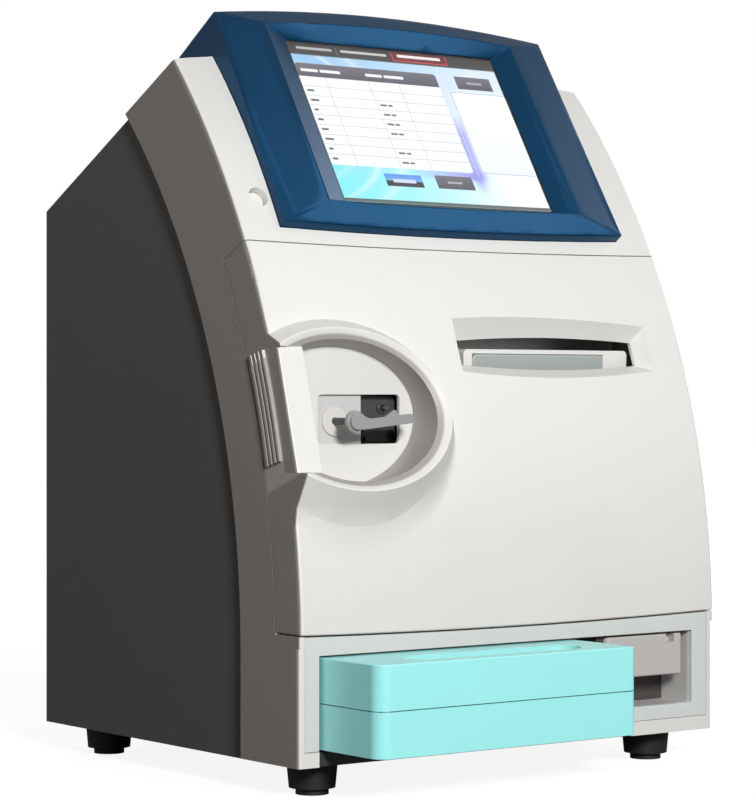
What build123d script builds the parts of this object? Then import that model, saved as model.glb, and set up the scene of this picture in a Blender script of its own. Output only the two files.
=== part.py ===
"""Benchtop chemistry analyzer: a curved white front with a fold-down door, a blue display head,
a dark rear housing and a cyan reagent pack that slides in the base.

Millimetres. While it is drawn, X runs to the right, Y to the back from the flat base front,
and Z up from the underside of the shell. At export the whole model moves so that its origin is
the middle of its bounding box at the height of the table.
"""
import os
from math import asin, atan2, cos, radians, sin, sqrt, tan

from build123d import *

# Overall sizes
cover_width = 330.0
half = cover_width / 2
depth = 303.0
foot_height = 20.0
wall = 3.0
seam = 0.8
fit = 0.3
edge_break = 1.2

# Side profile: one big arc for the front, concentric arcs for the seams behind it
face_radius = 546.0
arc_centre_z = 65.3
door_proud = 2.4
arc_centre_y = face_radius - door_proud
door_depth = 26.5
frame_depth = 62.7
top_angle = 27.1
top_ref_y = 134.4
top_ref_z = 426.5
crown_radius = 907.0
edge_round = 3.0
base_front_height = 76.9
door_top_z = 311.0
smile = 2.2

# Rear housing
housing_inset = 4.5
housing_top_inset = 1.8
housing_wall = 2.5
housing_drop = 1.0
housing_corner = 4.0
lip = 10.0
panel_left = -120.0
panel_right = 120.0
panel_bottom = 95.0
panel_top = 245.0
panel_flange = 4.0
screw_radius = 1.5
screw_head = 1.8
vent_count = 9
vent_pitch = 6.5
vent_length = 52.0
inlet_x = -75.0
inlet_z = 122.0
inlet_width = 28.0
inlet_height = 21.0

# Display head: a tilted box whose front ring rises a little to the screen pocket
head_tilt = 31.4
head_foot_y = 55.0
head_foot_z = 323.2
head_width_top = cover_width - 63.5
head_width_foot = cover_width - 58.0
head_length = 159.0
head_arch = 9.5
head_sag = 2.8
head_depth = 52.0
head_rise = 5.0
head_wall = 3.0
head_split = 32.0
head_gap = 0.5
pocket_width = cover_width - 128.0
pocket_length = 137.8
pocket_foot = 12.4
pocket_arch = 5.1
screen_width = cover_width - 163.3
screen_length = 122.8
screen_foot = 18.0
screen_drop = 0.9
glass_width = cover_width - 152.0
glass_length = 134.0
glass_thickness = 1.1
lcd_thickness = 5.0

# Power button in the left wing
button_x = -half + 20.0
button_z = 338.2
button_bore = 6.5
button_radius = 5.7
button_recess = 4.2
button_cap = 3.3
button_travel = 1.5
button_sleeve = 8.2
button_sleeve_length = 16.0
stem_radius = 2.0

# Door collar round the sampling bay
collar_x = -half + 45.0
rim_tilt = 20.2
rim_y = 5.75
rim_z = 210.0
rim_half_width = 72.3
rim_half_height = 51.9
rim_wall_x = 9.0
rim_wall_z = 6.4
rim_land = 1.2
lip_depth = 3.5
rim_back = 5.5
flare_tilt = 16.8
flare_y = 17.9
flare_z = 203.2
flare_half_width = 83.5
flare_half_height = 63.5
skirt_tilt = 15.5
skirt_y = 20.0
skirt_z = 198.0
skirt_half_width = 89.0
skirt_half_height = 69.5
collar_wall = 2.5

# Sampling plate and what shows in its window
plate_y = 38.0
plate_thickness = 2.5
plate_hole_x = -half + 50.0
plate_hole_z = 204.0
plate_half_width = 63.0
plate_half_height = 43.0
strip_width = 18.0
strip_tilt = 15.5
strip_ref_y = 13.2
strip_ref_z = 214.9
strip_bottom = 172.5
strip_top = 246.5
window_left = -half + 40.8
window_right = -half + 102.6
window_bottom = 188.0
window_top = 218.1
lever_x = -half + 54.5
lever_z = 202.0
lever_length = 43.0
shaft_radius = 2.15
hub_radius = 6.5
hub_back_y = 20.5
hub_thickness = 2.6
disc_radius = 9.0
disc_thickness = 1.5
carrier_thickness = 2.5
carrier_y = plate_y + plate_thickness
port_left = -half + 76.0
port_right = -half + 105.0
port_front_y = 46.0
port_step = 6.0
port_ring_x = -half + 94.0
port_ring_z = 209.8
port_ring_radius = 3.3
probe_radius = 0.8
plate_left = -half + 7.0
plate_right = -half + 120.0
plate_bottom = 152.0
plate_top = 256.0
shelf = 2.0

# Printer mouth in the door
mouth_left = collar_x + 97.4
mouth_right = half - 28.0
mouth_top = 264.0
mouth_bottom = 233.0
mouth_bow_top = 3.3
mouth_bow_bottom = 4.7
mouth_depth = 8.5
throat_left = mouth_left + 7.6
throat_right = mouth_right - 8.0
throat_top = 251.8
throat_bottom = 236.7
throat_bow_top = 2.8
throat_bow_bottom = 3.2
throat_length = 2.5
mouth_slant = 1.0
mouth_wall = 2.0
mouth_lead = 2.0
printer_y = 43.0
printer_top = 246.7
printer_left = mouth_left + 14.6
printer_right = mouth_right - 8.0
printer_bottom = 172.0
cover_left = mouth_left + 21.6
cover_right = mouth_right - 29.0
cover_bottom = 190.0
cover_top = 243.7
cover_thickness = 3.0
roll_radius = 17.0
core_radius = 6.0
roll_y = 65.0
roll_z = 212.0
platen_radius = 4.0
platen_pin = 2.0
platen_y = 53.0
platen_z = 234.5

# Base: opening for the pack on the left, raised bay on the right
opening_left = -half + 15.0
opening_right = half - 17.5
opening_top = 65.0
bay_left = half - 70.0
bay_floor = 18.2
bay_depth = 84.0
fascia_left = -half + 4.8
fascia_bottom = 9.2
fascia_thickness = 2.5
tray_lip = 8.4

# Reagent pack, part way out
pack_left = -half + 17.0
pack_width = cover_width - 134.0
pack_bottom = 10.0
pack_height = 54.0
pack_length = 190.0
pack_out = 56.0
pack_in_travel = 54.0
pack_big_corner = 9.0
pack_small_corner = 3.5
pack_seam_z = 37.0
pack_wall = 1.8
pack_roof = 5.0
groove_left = pack_left + 37.0
groove_right = pack_left + pack_width - 28.0
groove_depth = 3.0
groove_width = 25.0
port_count = 3
port_pitch = 60.0
port_radius = 4.0
spigot_radius = 3.0
spigot_length = 10.0
spigot_z = 24.0
rail_width = 8.0
rail_wall = 2.5

# Grey latch block in the right bay
latch_left = half - 88.5
latch_right = half - 23.0
latch_bottom = 37.0
latch_top = 63.5
latch_front = 3.0
latch_depth = 25.7
latch_travel = 8.0
latch_corner = 3.0
guide_post_left = half - 95.0
guide_thickness = 3.0
rail_left = half - 60.0
rail_right = half - 52.0
liner = 2.0

# Grip ribs on both door sides
rib_count = 4
rib_proud = 2.2
rib_width = 1.9
rib_pitch = 4.1
rib_inset = 6.5
rib_bottom = 179.0
rib_top = 244.5

# Hinge of the door
hinge_y = 1.2
hinge_z = 84.0
hinge_pin_radius = 1.25
running = 0.05
knuckle_radius = 2.4
hinge_arm_inner = half - 14.0
hinge_arm_outer = half - 8.0
ear = 4.0

# Deck, chassis and tray
tray_thickness = 3.0
tray_front = 2.0
deck_z = 70.0
deck_thickness = 2.0
chassis_y = 86.0
chassis_thickness = 1.5
chassis_top = 293.0
chassis_half = half - 11.0

# Feet
foot_x = half - 31.0
foot_front_y = 30.0
foot_rear_y = 263.0
foot_top_radius = 15.5
foot_low_radius = 14.0
foot_taper = 16.0
foot_pad_radius = 10.0

# Pump, fan and boards behind the chassis plate
pump_x = -half + 70.0
pump_z = 140.0
pump_radius = 26.0
pump_cavity = 21.0
pump_length = 30.0
pump_floor = 5.0
axle_radius = 2.45
fan_x = half - 90.0
fan_z = 190.0
board_x = half - 33.0
board_back = depth - 35.0
supply_width = 95.0
supply_length = 90.0
supply_height = 38.0
supply_gap = 27.0
measure_x = -10.0
measure_width = 80.0
measure_front = chassis_y + 19.0
measure_back = depth - 128.0
measure_height = 48.0
turret_radius = 16.0
turret_height = 70.0
well_radius = 9.0
well_floor = 55.0
fan_size = 60.0
fan_depth = 25.0
fan_bore = 28.0
fan_hub = 10.0
fan_blades = 7


def side_point(radius, z):
    """Y on the concentric side arc of this radius, at height z."""
    return arc_centre_y - sqrt(radius ** 2 - (z - arc_centre_z) ** 2)


def top_line(y, drop=0.0):
    """Height of the sloping top at y, lowered square to itself by drop."""
    return top_ref_z - (y - top_ref_y) * tan(radians(top_angle)) - drop / cos(radians(top_angle))


def across(sketch, left, right):
    """A side-view sketch (Y, Z) extruded along X from left to right."""
    return Pos(left, 0, 0) * extrude(Plane.YZ * sketch, right - left)


def along(sketch, front, back):
    """A front-view sketch (X, Z) extruded along Y from front to back."""
    plane = Plane(origin=(0, front, 0), x_dir=(1, 0, 0), z_dir=(0, -1, 0))
    return extrude(plane * sketch, -(back - front))


def box(x0, x1, y0, y1, z0, z1):
    """A box between two corners."""
    return Pos((x0 + x1) / 2, (y0 + y1) / 2, (z0 + z1) / 2) * Box(x1 - x0, y1 - y0, z1 - z0)


def disc(radius):
    """Circle about the centre of the side arcs."""
    return Pos(arc_centre_y, arc_centre_z) * Circle(radius)


def side_band(outer, inner, low, drop=0.0):
    """Side-view band between two concentric arcs, above low and under the sloping top."""
    keep = Polygon(
        (-80, low), (arc_centre_y, low), (arc_centre_y, top_line(arc_centre_y, drop)),
        (-80, top_line(-80, drop)), align=None,
    )
    return (disc(outer) - disc(inner)) & keep


def bow(x0, y0, x1, y1, sag):
    """A line between two points whose middle is raised by sag, straight when sag is 0."""
    if sag == 0:
        return Line((x0, y0), (x1, y1))
    return Bezier((x0, y0), ((x0 + x1) / 2, (y0 + y1) / 2 + 2 * sag), (x1, y1))


def arched(half_low, half_high, low, high, sag_low, sag_high):
    """Four-sided outline whose lower side bows down and whose upper side bows up."""
    return make_face([
        bow(-half_low, low, half_low, low, -sag_low),
        Line((half_low, low), (half_high, high)),
        bow(half_high, high, -half_high, high, sag_high),
        Line((-half_high, high), (-half_low, low)),
    ])


def bowed(left, right, low, high, sag_low, sag_high):
    """The same outline between given left and right sides."""
    middle = (left + right) / 2
    half = (right - left) / 2
    return Pos(middle, 0) * arched(half, half, low, high, sag_low, sag_high)


def crown_prism(half_width, drop):
    """Everything under the crowned top, lowered by drop square to the slope."""
    slope = radians(top_angle)
    plane = Plane(
        origin=(0, top_ref_y - drop * sin(slope), top_ref_z - drop * cos(slope)),
        x_dir=(1, 0, 0), z_dir=(0, -cos(slope), sin(slope)),
    )
    rise = crown_radius - sqrt(crown_radius ** 2 - half_width ** 2)
    edge = crown_rise - rise
    outline = arched(half_width + 1, half_width, -700, edge, 0, rise)
    return extrude(plane * outline, 700, both=True)


crown_rise = crown_radius - sqrt(crown_radius ** 2 - half ** 2)
frame_radius = face_radius - frame_depth
door_radius = face_radius - door_depth


def upper_body():
    """Outer form of the head, the door and the side bands, with rounded front edges."""
    tall = side_band(face_radius, face_radius - frame_depth, arc_centre_z + 5, -crown_rise)
    body = across(tall, -half, half)
    arcs = [e for e in body.edges().filter_by(GeomType.CIRCLE) if abs(e.radius - face_radius) < 0.01]
    body = fillet(arcs, edge_round)
    return body & crown_prism(half, 0)


def base_body():
    """Outer form of the base front, which is flat and stands 2.4 mm behind the door."""
    rear = side_point(frame_radius, arc_centre_z)
    body = box(-half, half, 0, rear, 0, base_front_height + 4)
    upright = body.edges().filter_by(Axis.Z).group_by(Axis.Y)[0]
    return fillet(upright, edge_round)


def door_space(gap, outer=640.0, inner=None, half_width=half + 1, lid=0.0, sill=0.0):
    """The part of space that the door takes, drawn in by gap on its seams.

    The upper seam is square to the front and both seams bow down in the middle.
    """
    inner = face_radius - door_depth + gap if inner is None else inner
    split = asin((door_top_z - arc_centre_z) / face_radius)
    upper = Plane(
        origin=(0, arc_centre_y, arc_centre_z), x_dir=(1, 0, 0), z_dir=(0, -cos(split), sin(split))
    )
    lower = Plane(origin=(0, -100, 0), x_dir=(1, 0, 0), z_dir=(0, -1, 0))
    roof = arched(half + 2, half + 2, -420, -gap - lid, 0, -smile)
    floor = arched(half + 2, half + 2, base_front_height + gap + sill, 420, smile, 0)
    ring = across((disc(outer) - disc(inner)) & Pos(0, 250) * Rectangle(1000, 420), -half_width, half_width)
    above = extrude(lower * floor, -400)
    under = extrude(upper * roof, 700)
    return ring & above & under


def head_plane(lift=0.0):
    """Plane of the display head's face: x to the right, y up the face, z out of it."""
    tilt = radians(head_tilt)
    return Plane(
        origin=(0, head_foot_y - lift * cos(tilt), head_foot_z + lift * sin(tilt)),
        x_dir=(1, 0, 0), z_dir=(0, -cos(tilt), sin(tilt)),
    )


def head_outline(grow=0.0):
    """Outline of the display head, square to its face."""
    return arched(
        head_width_foot / 2 + grow, head_width_top / 2 + grow, -grow, head_length + grow, head_sag, head_arch
    )


def head_slab(front, back, grow=0.0):
    """The display head's outline between two depths behind its face."""
    return extrude(head_plane(-front) * head_outline(grow), -(back - front))


def screen_slab(front, back, width, length):
    """A rectangle round the screen's centre between two depths behind the head's face."""
    centre = screen_foot + screen_length / 2
    return extrude(head_plane(-front) * Pos(0, centre) * Rectangle(width, length), -(back - front))


def button_plane(depth_in):
    """Plane across the power button's bore, depth_in below the surface of the wing."""
    slope = asin((button_z - arc_centre_z) / face_radius)
    y = side_point(face_radius, button_z) + depth_in * cos(slope)
    z = button_z - depth_in * sin(slope)
    return Plane(origin=(button_x, y, z), x_dir=(1, 0, 0), z_dir=(0, -cos(slope), sin(slope)))


def button_bar(radius, front, back):
    """Round bar on the power button's axis between two depths below the surface."""
    return extrude(button_plane(front) * Circle(radius), -(back - front))


def front_frame():
    """White front moulding: side bands, head with two wings, base front and a rear lip."""
    head = upper_body() - box(-half - 9, half + 9, -100, 0, 0, base_front_height)
    body = head + base_body() - door_space(0)
    shelf_z = base_front_height - smile - wall
    front_y = 2 * fascia_thickness
    back_y = side_point(frame_radius, arc_centre_z)
    head_void = side_band(face_radius - wall, frame_radius + wall, base_front_height + 10, wall - crown_rise)
    side_void = side_band(door_radius, frame_radius + wall, shelf_z, wall - crown_rise)
    rear_void = side_band(frame_radius + lip, frame_radius - lip, shelf_z, lip - crown_rise)
    roof = crown_prism(half - wall, wall)
    body -= across(head_void, -half + wall, half - wall) & roof
    body -= across(side_void, -half + wall, half - wall) & roof
    body -= across(rear_void, -half + lip, half - lip) & crown_prism(half - lip, lip)
    body -= box(-half + wall, half - wall, front_y, back_y - wall, wall, shelf_z + 0.2)
    body -= box(-half + lip, half - lip, back_y - 2 * wall, back_y + 1, wall, shelf_z + 0.2)
    body -= head_slab(-20, head_depth + 14, head_gap)
    body -= base_opening()
    body -= fascia_form(fit)
    sleeve = button_bar(button_sleeve, wall / 2, button_sleeve_length)
    return body + sleeve - button_bar(button_bore, -4, button_sleeve_length + 1)


def base_opening():
    """Opening of the base: open at the bottom under the pack, with a sill under the right bay."""
    lane = box(opening_left, bay_left, -20, 75, -5, opening_top)
    bay = box(bay_left - 1, opening_right, -20, 75, bay_floor, opening_top)
    return lane + bay


def fascia_form(grow):
    """Shallow panel let into the base front."""
    left = fascia_left - grow
    front = -1 if grow else 0
    return box(left, -left, front, fascia_thickness, fascia_bottom - grow, base_front_height + 4)


def fascia_panel():
    """Cool white panel round the base opening, flush with the base front."""
    top = base_front_height - fit
    cap = along(bowed(-half - 2, half + 2, -20, top, 0, -smile), -5, 10)
    return (fascia_form(0.0) & cap) - base_opening()


def door_panel():
    """White door: curved front, side and top walls, collar of the sampling bay, printer mouth."""
    outer = upper_body() & door_space(seam)
    low = [
        e for e in outer.edges()
        if e.length > cover_width * 0.8 and e.center().Z < hinge_z and e.center().Y < 0
    ]
    outer = fillet(low, edge_break)
    hollow = door_space(seam, face_radius - wall, 380, half - wall, lid=wall, sill=-20)
    door = add_collar(outer - hollow)
    door = add_mouth(door)
    heel_y = side_point(door_radius, base_front_height)
    heel = Polygon(
        (heel_y - 3.5, base_front_height - 1), (heel_y + 3, base_front_height - 1),
        (heel_y + 3, base_front_height + 6), align=None,
    )
    door -= across(heel, -half - 1, half + 1)
    for side in (-1, 1):
        door += grip_ribs(side)
        door = add_hinge_ears(door, side)
    return door


def ellipse_at(x, y, z, tilt, half_width, half_height):
    """Ellipse facing forwards, leaning back by tilt degrees."""
    lean = radians(tilt)
    plane = Plane(origin=(x, y, z), x_dir=(1, 0, 0), z_dir=(0, -cos(lean), sin(lean)))
    return plane * Ellipse(half_width, half_height)


def bay_bore(grow):
    """The bore of the sampling bay from the collar's rim back to the sampling plate."""
    rim = ellipse_at(
        collar_x, rim_y, rim_z, rim_tilt,
        rim_half_width - rim_wall_x + grow, rim_half_height - rim_wall_z + grow,
    )
    foot = ellipse_at(
        plate_hole_x, plate_y - 0.6, plate_hole_z, 0, plate_half_width + grow, plate_half_height + grow
    )
    return loft([rim, foot], ruled=True)


def collar_cone(shrink, back):
    """The raised outer form of the collar, from flared foot to rim, shrunk and set back at the rim."""
    lean = radians(rim_tilt)
    rim = ellipse_at(
        collar_x, rim_y + back * cos(lean), rim_z - back * sin(lean), rim_tilt,
        rim_half_width - shrink, rim_half_height - shrink,
    )
    flare = ellipse_at(
        collar_x, flare_y, flare_z, flare_tilt, flare_half_width - shrink, flare_half_height - shrink
    )
    foot = ellipse_at(
        collar_x, skirt_y, skirt_z, skirt_tilt, skirt_half_width - shrink, skirt_half_height - shrink
    )
    return loft([foot, flare, rim], ruled=True)


def lip_ellipse(back):
    """Section of the rim's inner bevel, set back from the rim."""
    lean = radians(rim_tilt)
    share = back / lip_depth
    return ellipse_at(
        collar_x, rim_y + back * cos(lean), rim_z - back * sin(lean), rim_tilt,
        rim_half_width - rim_land - (rim_wall_x - rim_land) * share,
        rim_half_height - rim_land - (rim_wall_z - rim_land) * share,
    )


def add_collar(door):
    """Fuse the collar and its inner tube to the door and open the bay."""
    span = box(-half, half, -60, plate_y - 0.6, 100, 320)
    cone = collar_cone(0, 0) & span
    end_wall = box(-half, -half + wall, -60, 60, 100, 320)
    cone_void = collar_cone(collar_wall, rim_back) - end_wall
    tube = bay_bore(collar_wall) & span
    behind = across(disc(door_radius + seam), -half - 1, -half + wall + fit)
    door = (door + cone - cone_void + tube) - behind
    door -= bay_bore(0) - side_wall_behind(0)
    door -= loft([lip_ellipse(-2.0), lip_ellipse(2 * lip_depth)], ruled=True)
    return door - strip_block(fit / 3, 40)


def side_wall_behind(grow):
    """The door's left side wall behind the grip strip, which carries the ribs."""
    return across(disc(face_radius - rib_inset + 1 + grow), -half - 1, -half + wall + grow)


def strip_block(grow, front_grow=0.0):
    """Space of the grip strip: the left end of the bay."""
    lean = tan(radians(strip_tilt))
    front = strip_ref_y - (strip_ref_z - strip_bottom) * lean - front_grow
    back = strip_ref_y + (strip_top - strip_ref_z) * lean - front_grow
    side = Polygon(
        (front, strip_bottom - grow), (plate_y - 0.6, strip_bottom - grow),
        (plate_y - 0.6, strip_top + grow), (back, strip_top + grow), align=None,
    )
    block = across(side, -half - grow, -half + strip_width + grow)
    return block - side_wall_behind(fit / 3 if grow == 0 else 0)


def grip_strip():
    """White strip along the left end of the bay, open at its back."""
    block = strip_block(0)
    core = box(-half + wall + 2, -half + strip_width - 2, 24, plate_y, strip_bottom + 2, strip_top - 2)
    edges = block.edges().filter_by(lambda e: e.length > 60 and e.center().Y < 20).sort_by(Axis.X)[0]
    return fillet(edges, 2.0) - core


def mouth_section(grow, share):
    """Bowed outline of the printer mouth, share 0 at the door's face and 1 at the throat."""
    y_low = side_point(face_radius, mouth_bottom)
    y_high = side_point(face_radius, mouth_top)
    lean = atan2(y_high - y_low, mouth_top - mouth_bottom)
    y = (y_low + y_high) / 2
    tall = mouth_top - mouth_bottom
    high = tall / 2 + share * (throat_top - throat_bottom - tall) / 2
    z = (mouth_top + mouth_bottom) / 2 + share * (throat_top + throat_bottom - mouth_top - mouth_bottom) / 2
    left = mouth_left + share * (throat_left - mouth_left)
    right = mouth_right + share * (throat_right - mouth_right)
    middle = (left + right) / 2
    plane = Plane(
        origin=(middle, y + share * mouth_depth, z), x_dir=(1, 0, 0), z_dir=(0, -cos(lean), sin(lean))
    ).rotated((0, 0, -mouth_slant))
    high = high / cos(lean) + grow
    return plane * bowed(
        left - middle - grow, right - middle + grow, -high, high,
        mouth_bow_bottom + share * (throat_bow_bottom - mouth_bow_bottom),
        mouth_bow_top + share * (throat_bow_top - mouth_bow_top),
    )


def mouth_form(grow, tail):
    """Funnel of the printer mouth from in front of the face to the throat, and on straight back by tail."""
    funnel = loft([mouth_section(grow, -mouth_lead / mouth_depth), mouth_section(grow, 1.0)], ruled=True)
    return funnel + extrude(mouth_section(grow, 1.0), tail, dir=(0, 1, 0))


def add_mouth(door):
    """Fuse the bevelled funnel of the printer mouth to the door."""
    room = mouth_wall + mouth_bow_bottom + 8
    ahead = across(disc(face_radius + 40) - disc(face_radius - 0.5), mouth_left - room, mouth_right + room)
    door = door + (mouth_form(mouth_wall, throat_length) - ahead)
    return door - mouth_form(0.0, throat_length + 1)


def grip_ribs(side):
    """Four slim ribs on the side of the door, leaning with its front edge."""
    ribs = None
    for index in range(rib_count):
        inset = rib_inset + index * rib_pitch
        band = disc(face_radius - inset) - disc(face_radius - inset - rib_width)
        band = band & Pos(0, (rib_bottom + rib_top) / 2 - index) * Rectangle(300, rib_top - rib_bottom)
        x0 = side * half if side > 0 else -half - rib_proud
        rib = across(band, x0, x0 + rib_proud)
        ribs = rib if ribs is None else ribs + rib
    return ribs


def rod_x(radius, left, right, y, z):
    """Round bar along X."""
    return Pos((left + right) / 2, y, z) * Rot(0, 90, 0) * Cylinder(radius, right - left)


def rod_y(radius, x, z, front, back):
    """Round bar along Y."""
    return Pos(x, (front + back) / 2, z) * Rot(90, 0, 0) * Cylinder(radius, back - front)


def rod_z(radius, x, y, low, high):
    """Round bar along Z."""
    return Pos(x, y, (low + high) / 2) * Cylinder(radius, high - low)


def mirrored(side, low, high):
    """X limits on the right for side 1, and their mirror image for side -1."""
    return (low, high) if side > 0 else (-high, -low)


def hinge_rod(side, radius, low, high):
    """Round bar on the hinge axis between two distances from the middle."""
    return rod_x(radius, *mirrored(side, low, high), hinge_y, hinge_z)


def add_hinge_ears(door, side):
    """Two ears on the inside of the door, either side of the hinge arm."""
    inner_wall = half - wall
    inner_ear = (hinge_arm_inner - fit - ear, hinge_arm_inner - fit)
    outer_ear = (hinge_arm_outer + fit, inner_wall + 0.2)
    for low, high in (inner_ear, outer_ear):
        left, right = mirrored(side, low, high)
        door += box(left, right, hinge_y - 2.4, hinge_y + 3, hinge_z - 2.4, hinge_z + 6)
    left, right = mirrored(side, hinge_arm_inner - fit, hinge_arm_outer + fit)
    door -= box(left, right, hinge_y - 2.7, hinge_y + 6, base_front_height - 9, hinge_z + 8)
    return door - hinge_rod(side, hinge_pin_radius, hinge_arm_inner - fit - ear - 1, inner_wall - fit)


def hinge_pin(side):
    """Steel pin through the ears and the arm."""
    return hinge_rod(side, hinge_pin_radius, hinge_arm_inner - fit - ear, half - wall - 0.4)


def hinge_bracket(side):
    """Bracket on the frame's side wall whose arm reaches forward to the pin."""
    left, right = mirrored(side, hinge_arm_inner, hinge_arm_outer)
    arm = Polygon(
        (hinge_y, hinge_z - 0.8), (hinge_y + 2.2, hinge_z - 1), (hinge_y + 9, hinge_z),
        (hinge_y + 41, hinge_z), (hinge_y + 41, hinge_z + 12), (hinge_y + 11, hinge_z + 8),
        (hinge_y, hinge_z + 2.2), align=None,
    )
    body = across(arm, left, right) + hinge_rod(side, knuckle_radius, hinge_arm_inner, hinge_arm_outer)
    pad_left, pad_right = mirrored(side, hinge_arm_outer - 0.5, half - wall)
    body += box(pad_left, pad_right, hinge_y + 30, hinge_y + 46, hinge_z - 6, hinge_z + 14)
    return body - hinge_rod(side, hinge_pin_radius + running, hinge_arm_inner - 1, hinge_arm_outer + 1)


def rear_housing():
    """Dark rear shell with the sloping top, open at the front and the bottom."""
    half_out = half - housing_inset
    front = side_point(frame_radius, arc_centre_z)
    high = Pos(0, arc_centre_z) * Rectangle(depth, 500, align=(Align.MIN, Align.MIN))
    low = Pos(front, -housing_drop) * Rectangle(
        depth - front, arc_centre_z + housing_drop, align=(Align.MIN, Align.MIN)
    )
    body = across((high & disc(frame_radius)) + low, -half_out, half_out)
    tall = [e for e in body.edges().filter_by(Axis.Z) if e.center().Y > depth - 1]
    body = fillet(tall, housing_corner) & crown_prism(half_out, housing_top_inset)
    inner = box(-half_out + housing_wall, half_out - housing_wall, -50, depth - housing_wall, -5, 500)
    body -= inner & crown_prism(half_out - housing_wall, housing_top_inset + housing_wall)
    opening = box(
        panel_left - fit, panel_right + fit, depth - 9, depth + 1, panel_bottom - fit, panel_top + fit
    )
    return body - opening


def panel_corners():
    """Screw places of the rear panel."""
    inset = 6.0
    return [
        (x, z)
        for x in (panel_left + inset, panel_right - inset)
        for z in (panel_bottom + inset, panel_top - inset)
    ]


def rear_panel():
    """Steel panel in the back, with fan vents, the power inlet's hole and a rear flange."""
    inside = depth - housing_wall
    body = box(panel_left, panel_right, inside, depth, panel_bottom, panel_top)
    body += box(
        panel_left - panel_flange, panel_right + panel_flange, inside - 2, inside,
        panel_bottom - panel_flange, panel_top + panel_flange,
    )
    for index in range(vent_count):
        z = fan_z + (index - (vent_count - 1) / 2) * vent_pitch
        reach = sqrt(fan_bore ** 2 - (z - fan_z) ** 2)
        body -= box(fan_x - reach, fan_x + reach, inside - 3, depth + 1, z - 1.6, z + 1.6)
        body -= box(
            inlet_x - vent_length / 2, inlet_x + vent_length / 2, inside - 3, depth + 1,
            z - 1.6, z + 1.6,
        )
    body -= box(
        inlet_x - inlet_width / 2, inlet_x + inlet_width / 2, inside - 3, depth + 1,
        inlet_z - inlet_height / 2, inlet_z + inlet_height / 2,
    )
    for x, z in panel_corners():
        body -= rod_y(screw_radius + 0.1, x, z, inside - 5, depth + 1)
    return body


def case_screws():
    """Pan head screws in the corners of the rear panel."""
    group = None
    for x, z in panel_corners():
        screw = rod_y(3.0, x, z, depth, depth + screw_head) + rod_y(screw_radius, x, z, depth - 8, depth)
        cross = box(x - 1.8, x + 1.8, depth + 1, depth + 3, z - 0.4, z + 0.4)
        cross += box(x - 0.4, x + 0.4, depth + 1, depth + 3, z - 1.8, z + 1.8)
        screw -= cross
        group = screw if group is None else group + screw
    return group


def power_inlet():
    """Mains inlet in the rear panel: flanged body with a recess and three blades."""
    inside = depth - housing_wall
    half_x = inlet_width / 2
    half_z = inlet_height / 2
    body = box(
        inlet_x - half_x + 0.1, inlet_x + half_x - 0.1, inside - 20, depth,
        inlet_z - half_z + 0.1, inlet_z + half_z - 0.1,
    )
    body += box(
        inlet_x - half_x - 4, inlet_x + half_x + 4, depth, depth + 1.5,
        inlet_z - half_z - 2, inlet_z + half_z + 2,
    )
    well = box(inlet_x - 12, inlet_x + 12, depth - 14, depth + 2, inlet_z - 8, inlet_z + 8)
    body -= fillet(well.edges().filter_by(Axis.Y).group_by(Axis.Z)[-1], 4.0)
    for x, z in ((-7, -2), (0, 2.5), (7, -2)):
        body += box(inlet_x + x - 1, inlet_x + x + 1, depth - 16, depth - 2, inlet_z + z - 2, inlet_z + z + 2)
    return body


def base_tray():
    """Dark tray that floors the base, with the low lip that shows under the pack."""
    rear = side_point(frame_radius, arc_centre_z)
    half_in = half - housing_inset - housing_wall
    floor = box(opening_left + fit, bay_left - fit, tray_front, rear + 1, 0, tray_thickness)
    floor += box(-half_in, half_in, rear, depth - housing_wall, 0, tray_thickness)
    return floor + box(opening_left + fit, bay_left - fit, tray_front, tray_front + 2.5, 0, tray_lip)


def foot(x, y):
    """Rubber foot: tapered block with a smaller disc under it."""
    taper = Pos(x, y, -foot_taper / 2) * Cone(foot_low_radius, foot_top_radius, foot_taper)
    return taper + rod_z(foot_pad_radius, x, y, -foot_height, -foot_taper)


def display_bezel():
    """Blue front of the display head, rising to a rim round the sunken screen."""
    side = pocket_width / 2
    pocket_head = pocket_foot + pocket_length
    pocket = arched(side, side, pocket_foot, pocket_head, 1.5, pocket_arch)
    mouth = arched(
        side - 1, side - 1, pocket_foot + 1, pocket_head - 1, 1.5, pocket_arch
    )
    centre = screen_foot + screen_length / 2
    window = Pos(0, centre) * arched(
        screen_width / 2 + 1, screen_width / 2 + 1, -screen_length / 2 - 1, screen_length / 2 + 1, 0.3, 0.3
    )
    body = loft([head_plane(0) * head_outline(), head_plane(head_rise) * pocket], ruled=True)
    body += head_slab(0, head_split)
    body -= head_slab(head_wall, head_split + 1, -head_wall)
    body -= screen_slab(screen_drop, head_wall + 1, glass_width + 2 * fit, glass_length + 2 * fit)
    body -= loft([head_plane(head_rise) * mouth, head_plane(-screen_drop) * window], ruled=True)
    return body


def display_back_cover():
    """Blue rear of the display head, behind its seam."""
    body = head_slab(head_split, head_depth)
    return body - head_slab(head_split - 1, head_depth - head_wall, -head_wall)


def touch_glass():
    """Clear touch panel behind the bezel."""
    return screen_slab(screen_drop, screen_drop + glass_thickness, glass_width, glass_length)


def lcd_panel():
    """Screen module behind the touch panel."""
    front = screen_drop + glass_thickness
    body = screen_slab(front, front + lcd_thickness, glass_width - 4, glass_length - 4)
    back = front + lcd_thickness
    return body + screen_slab(back, back + 3, glass_width - 40, glass_length - 50)


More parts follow.
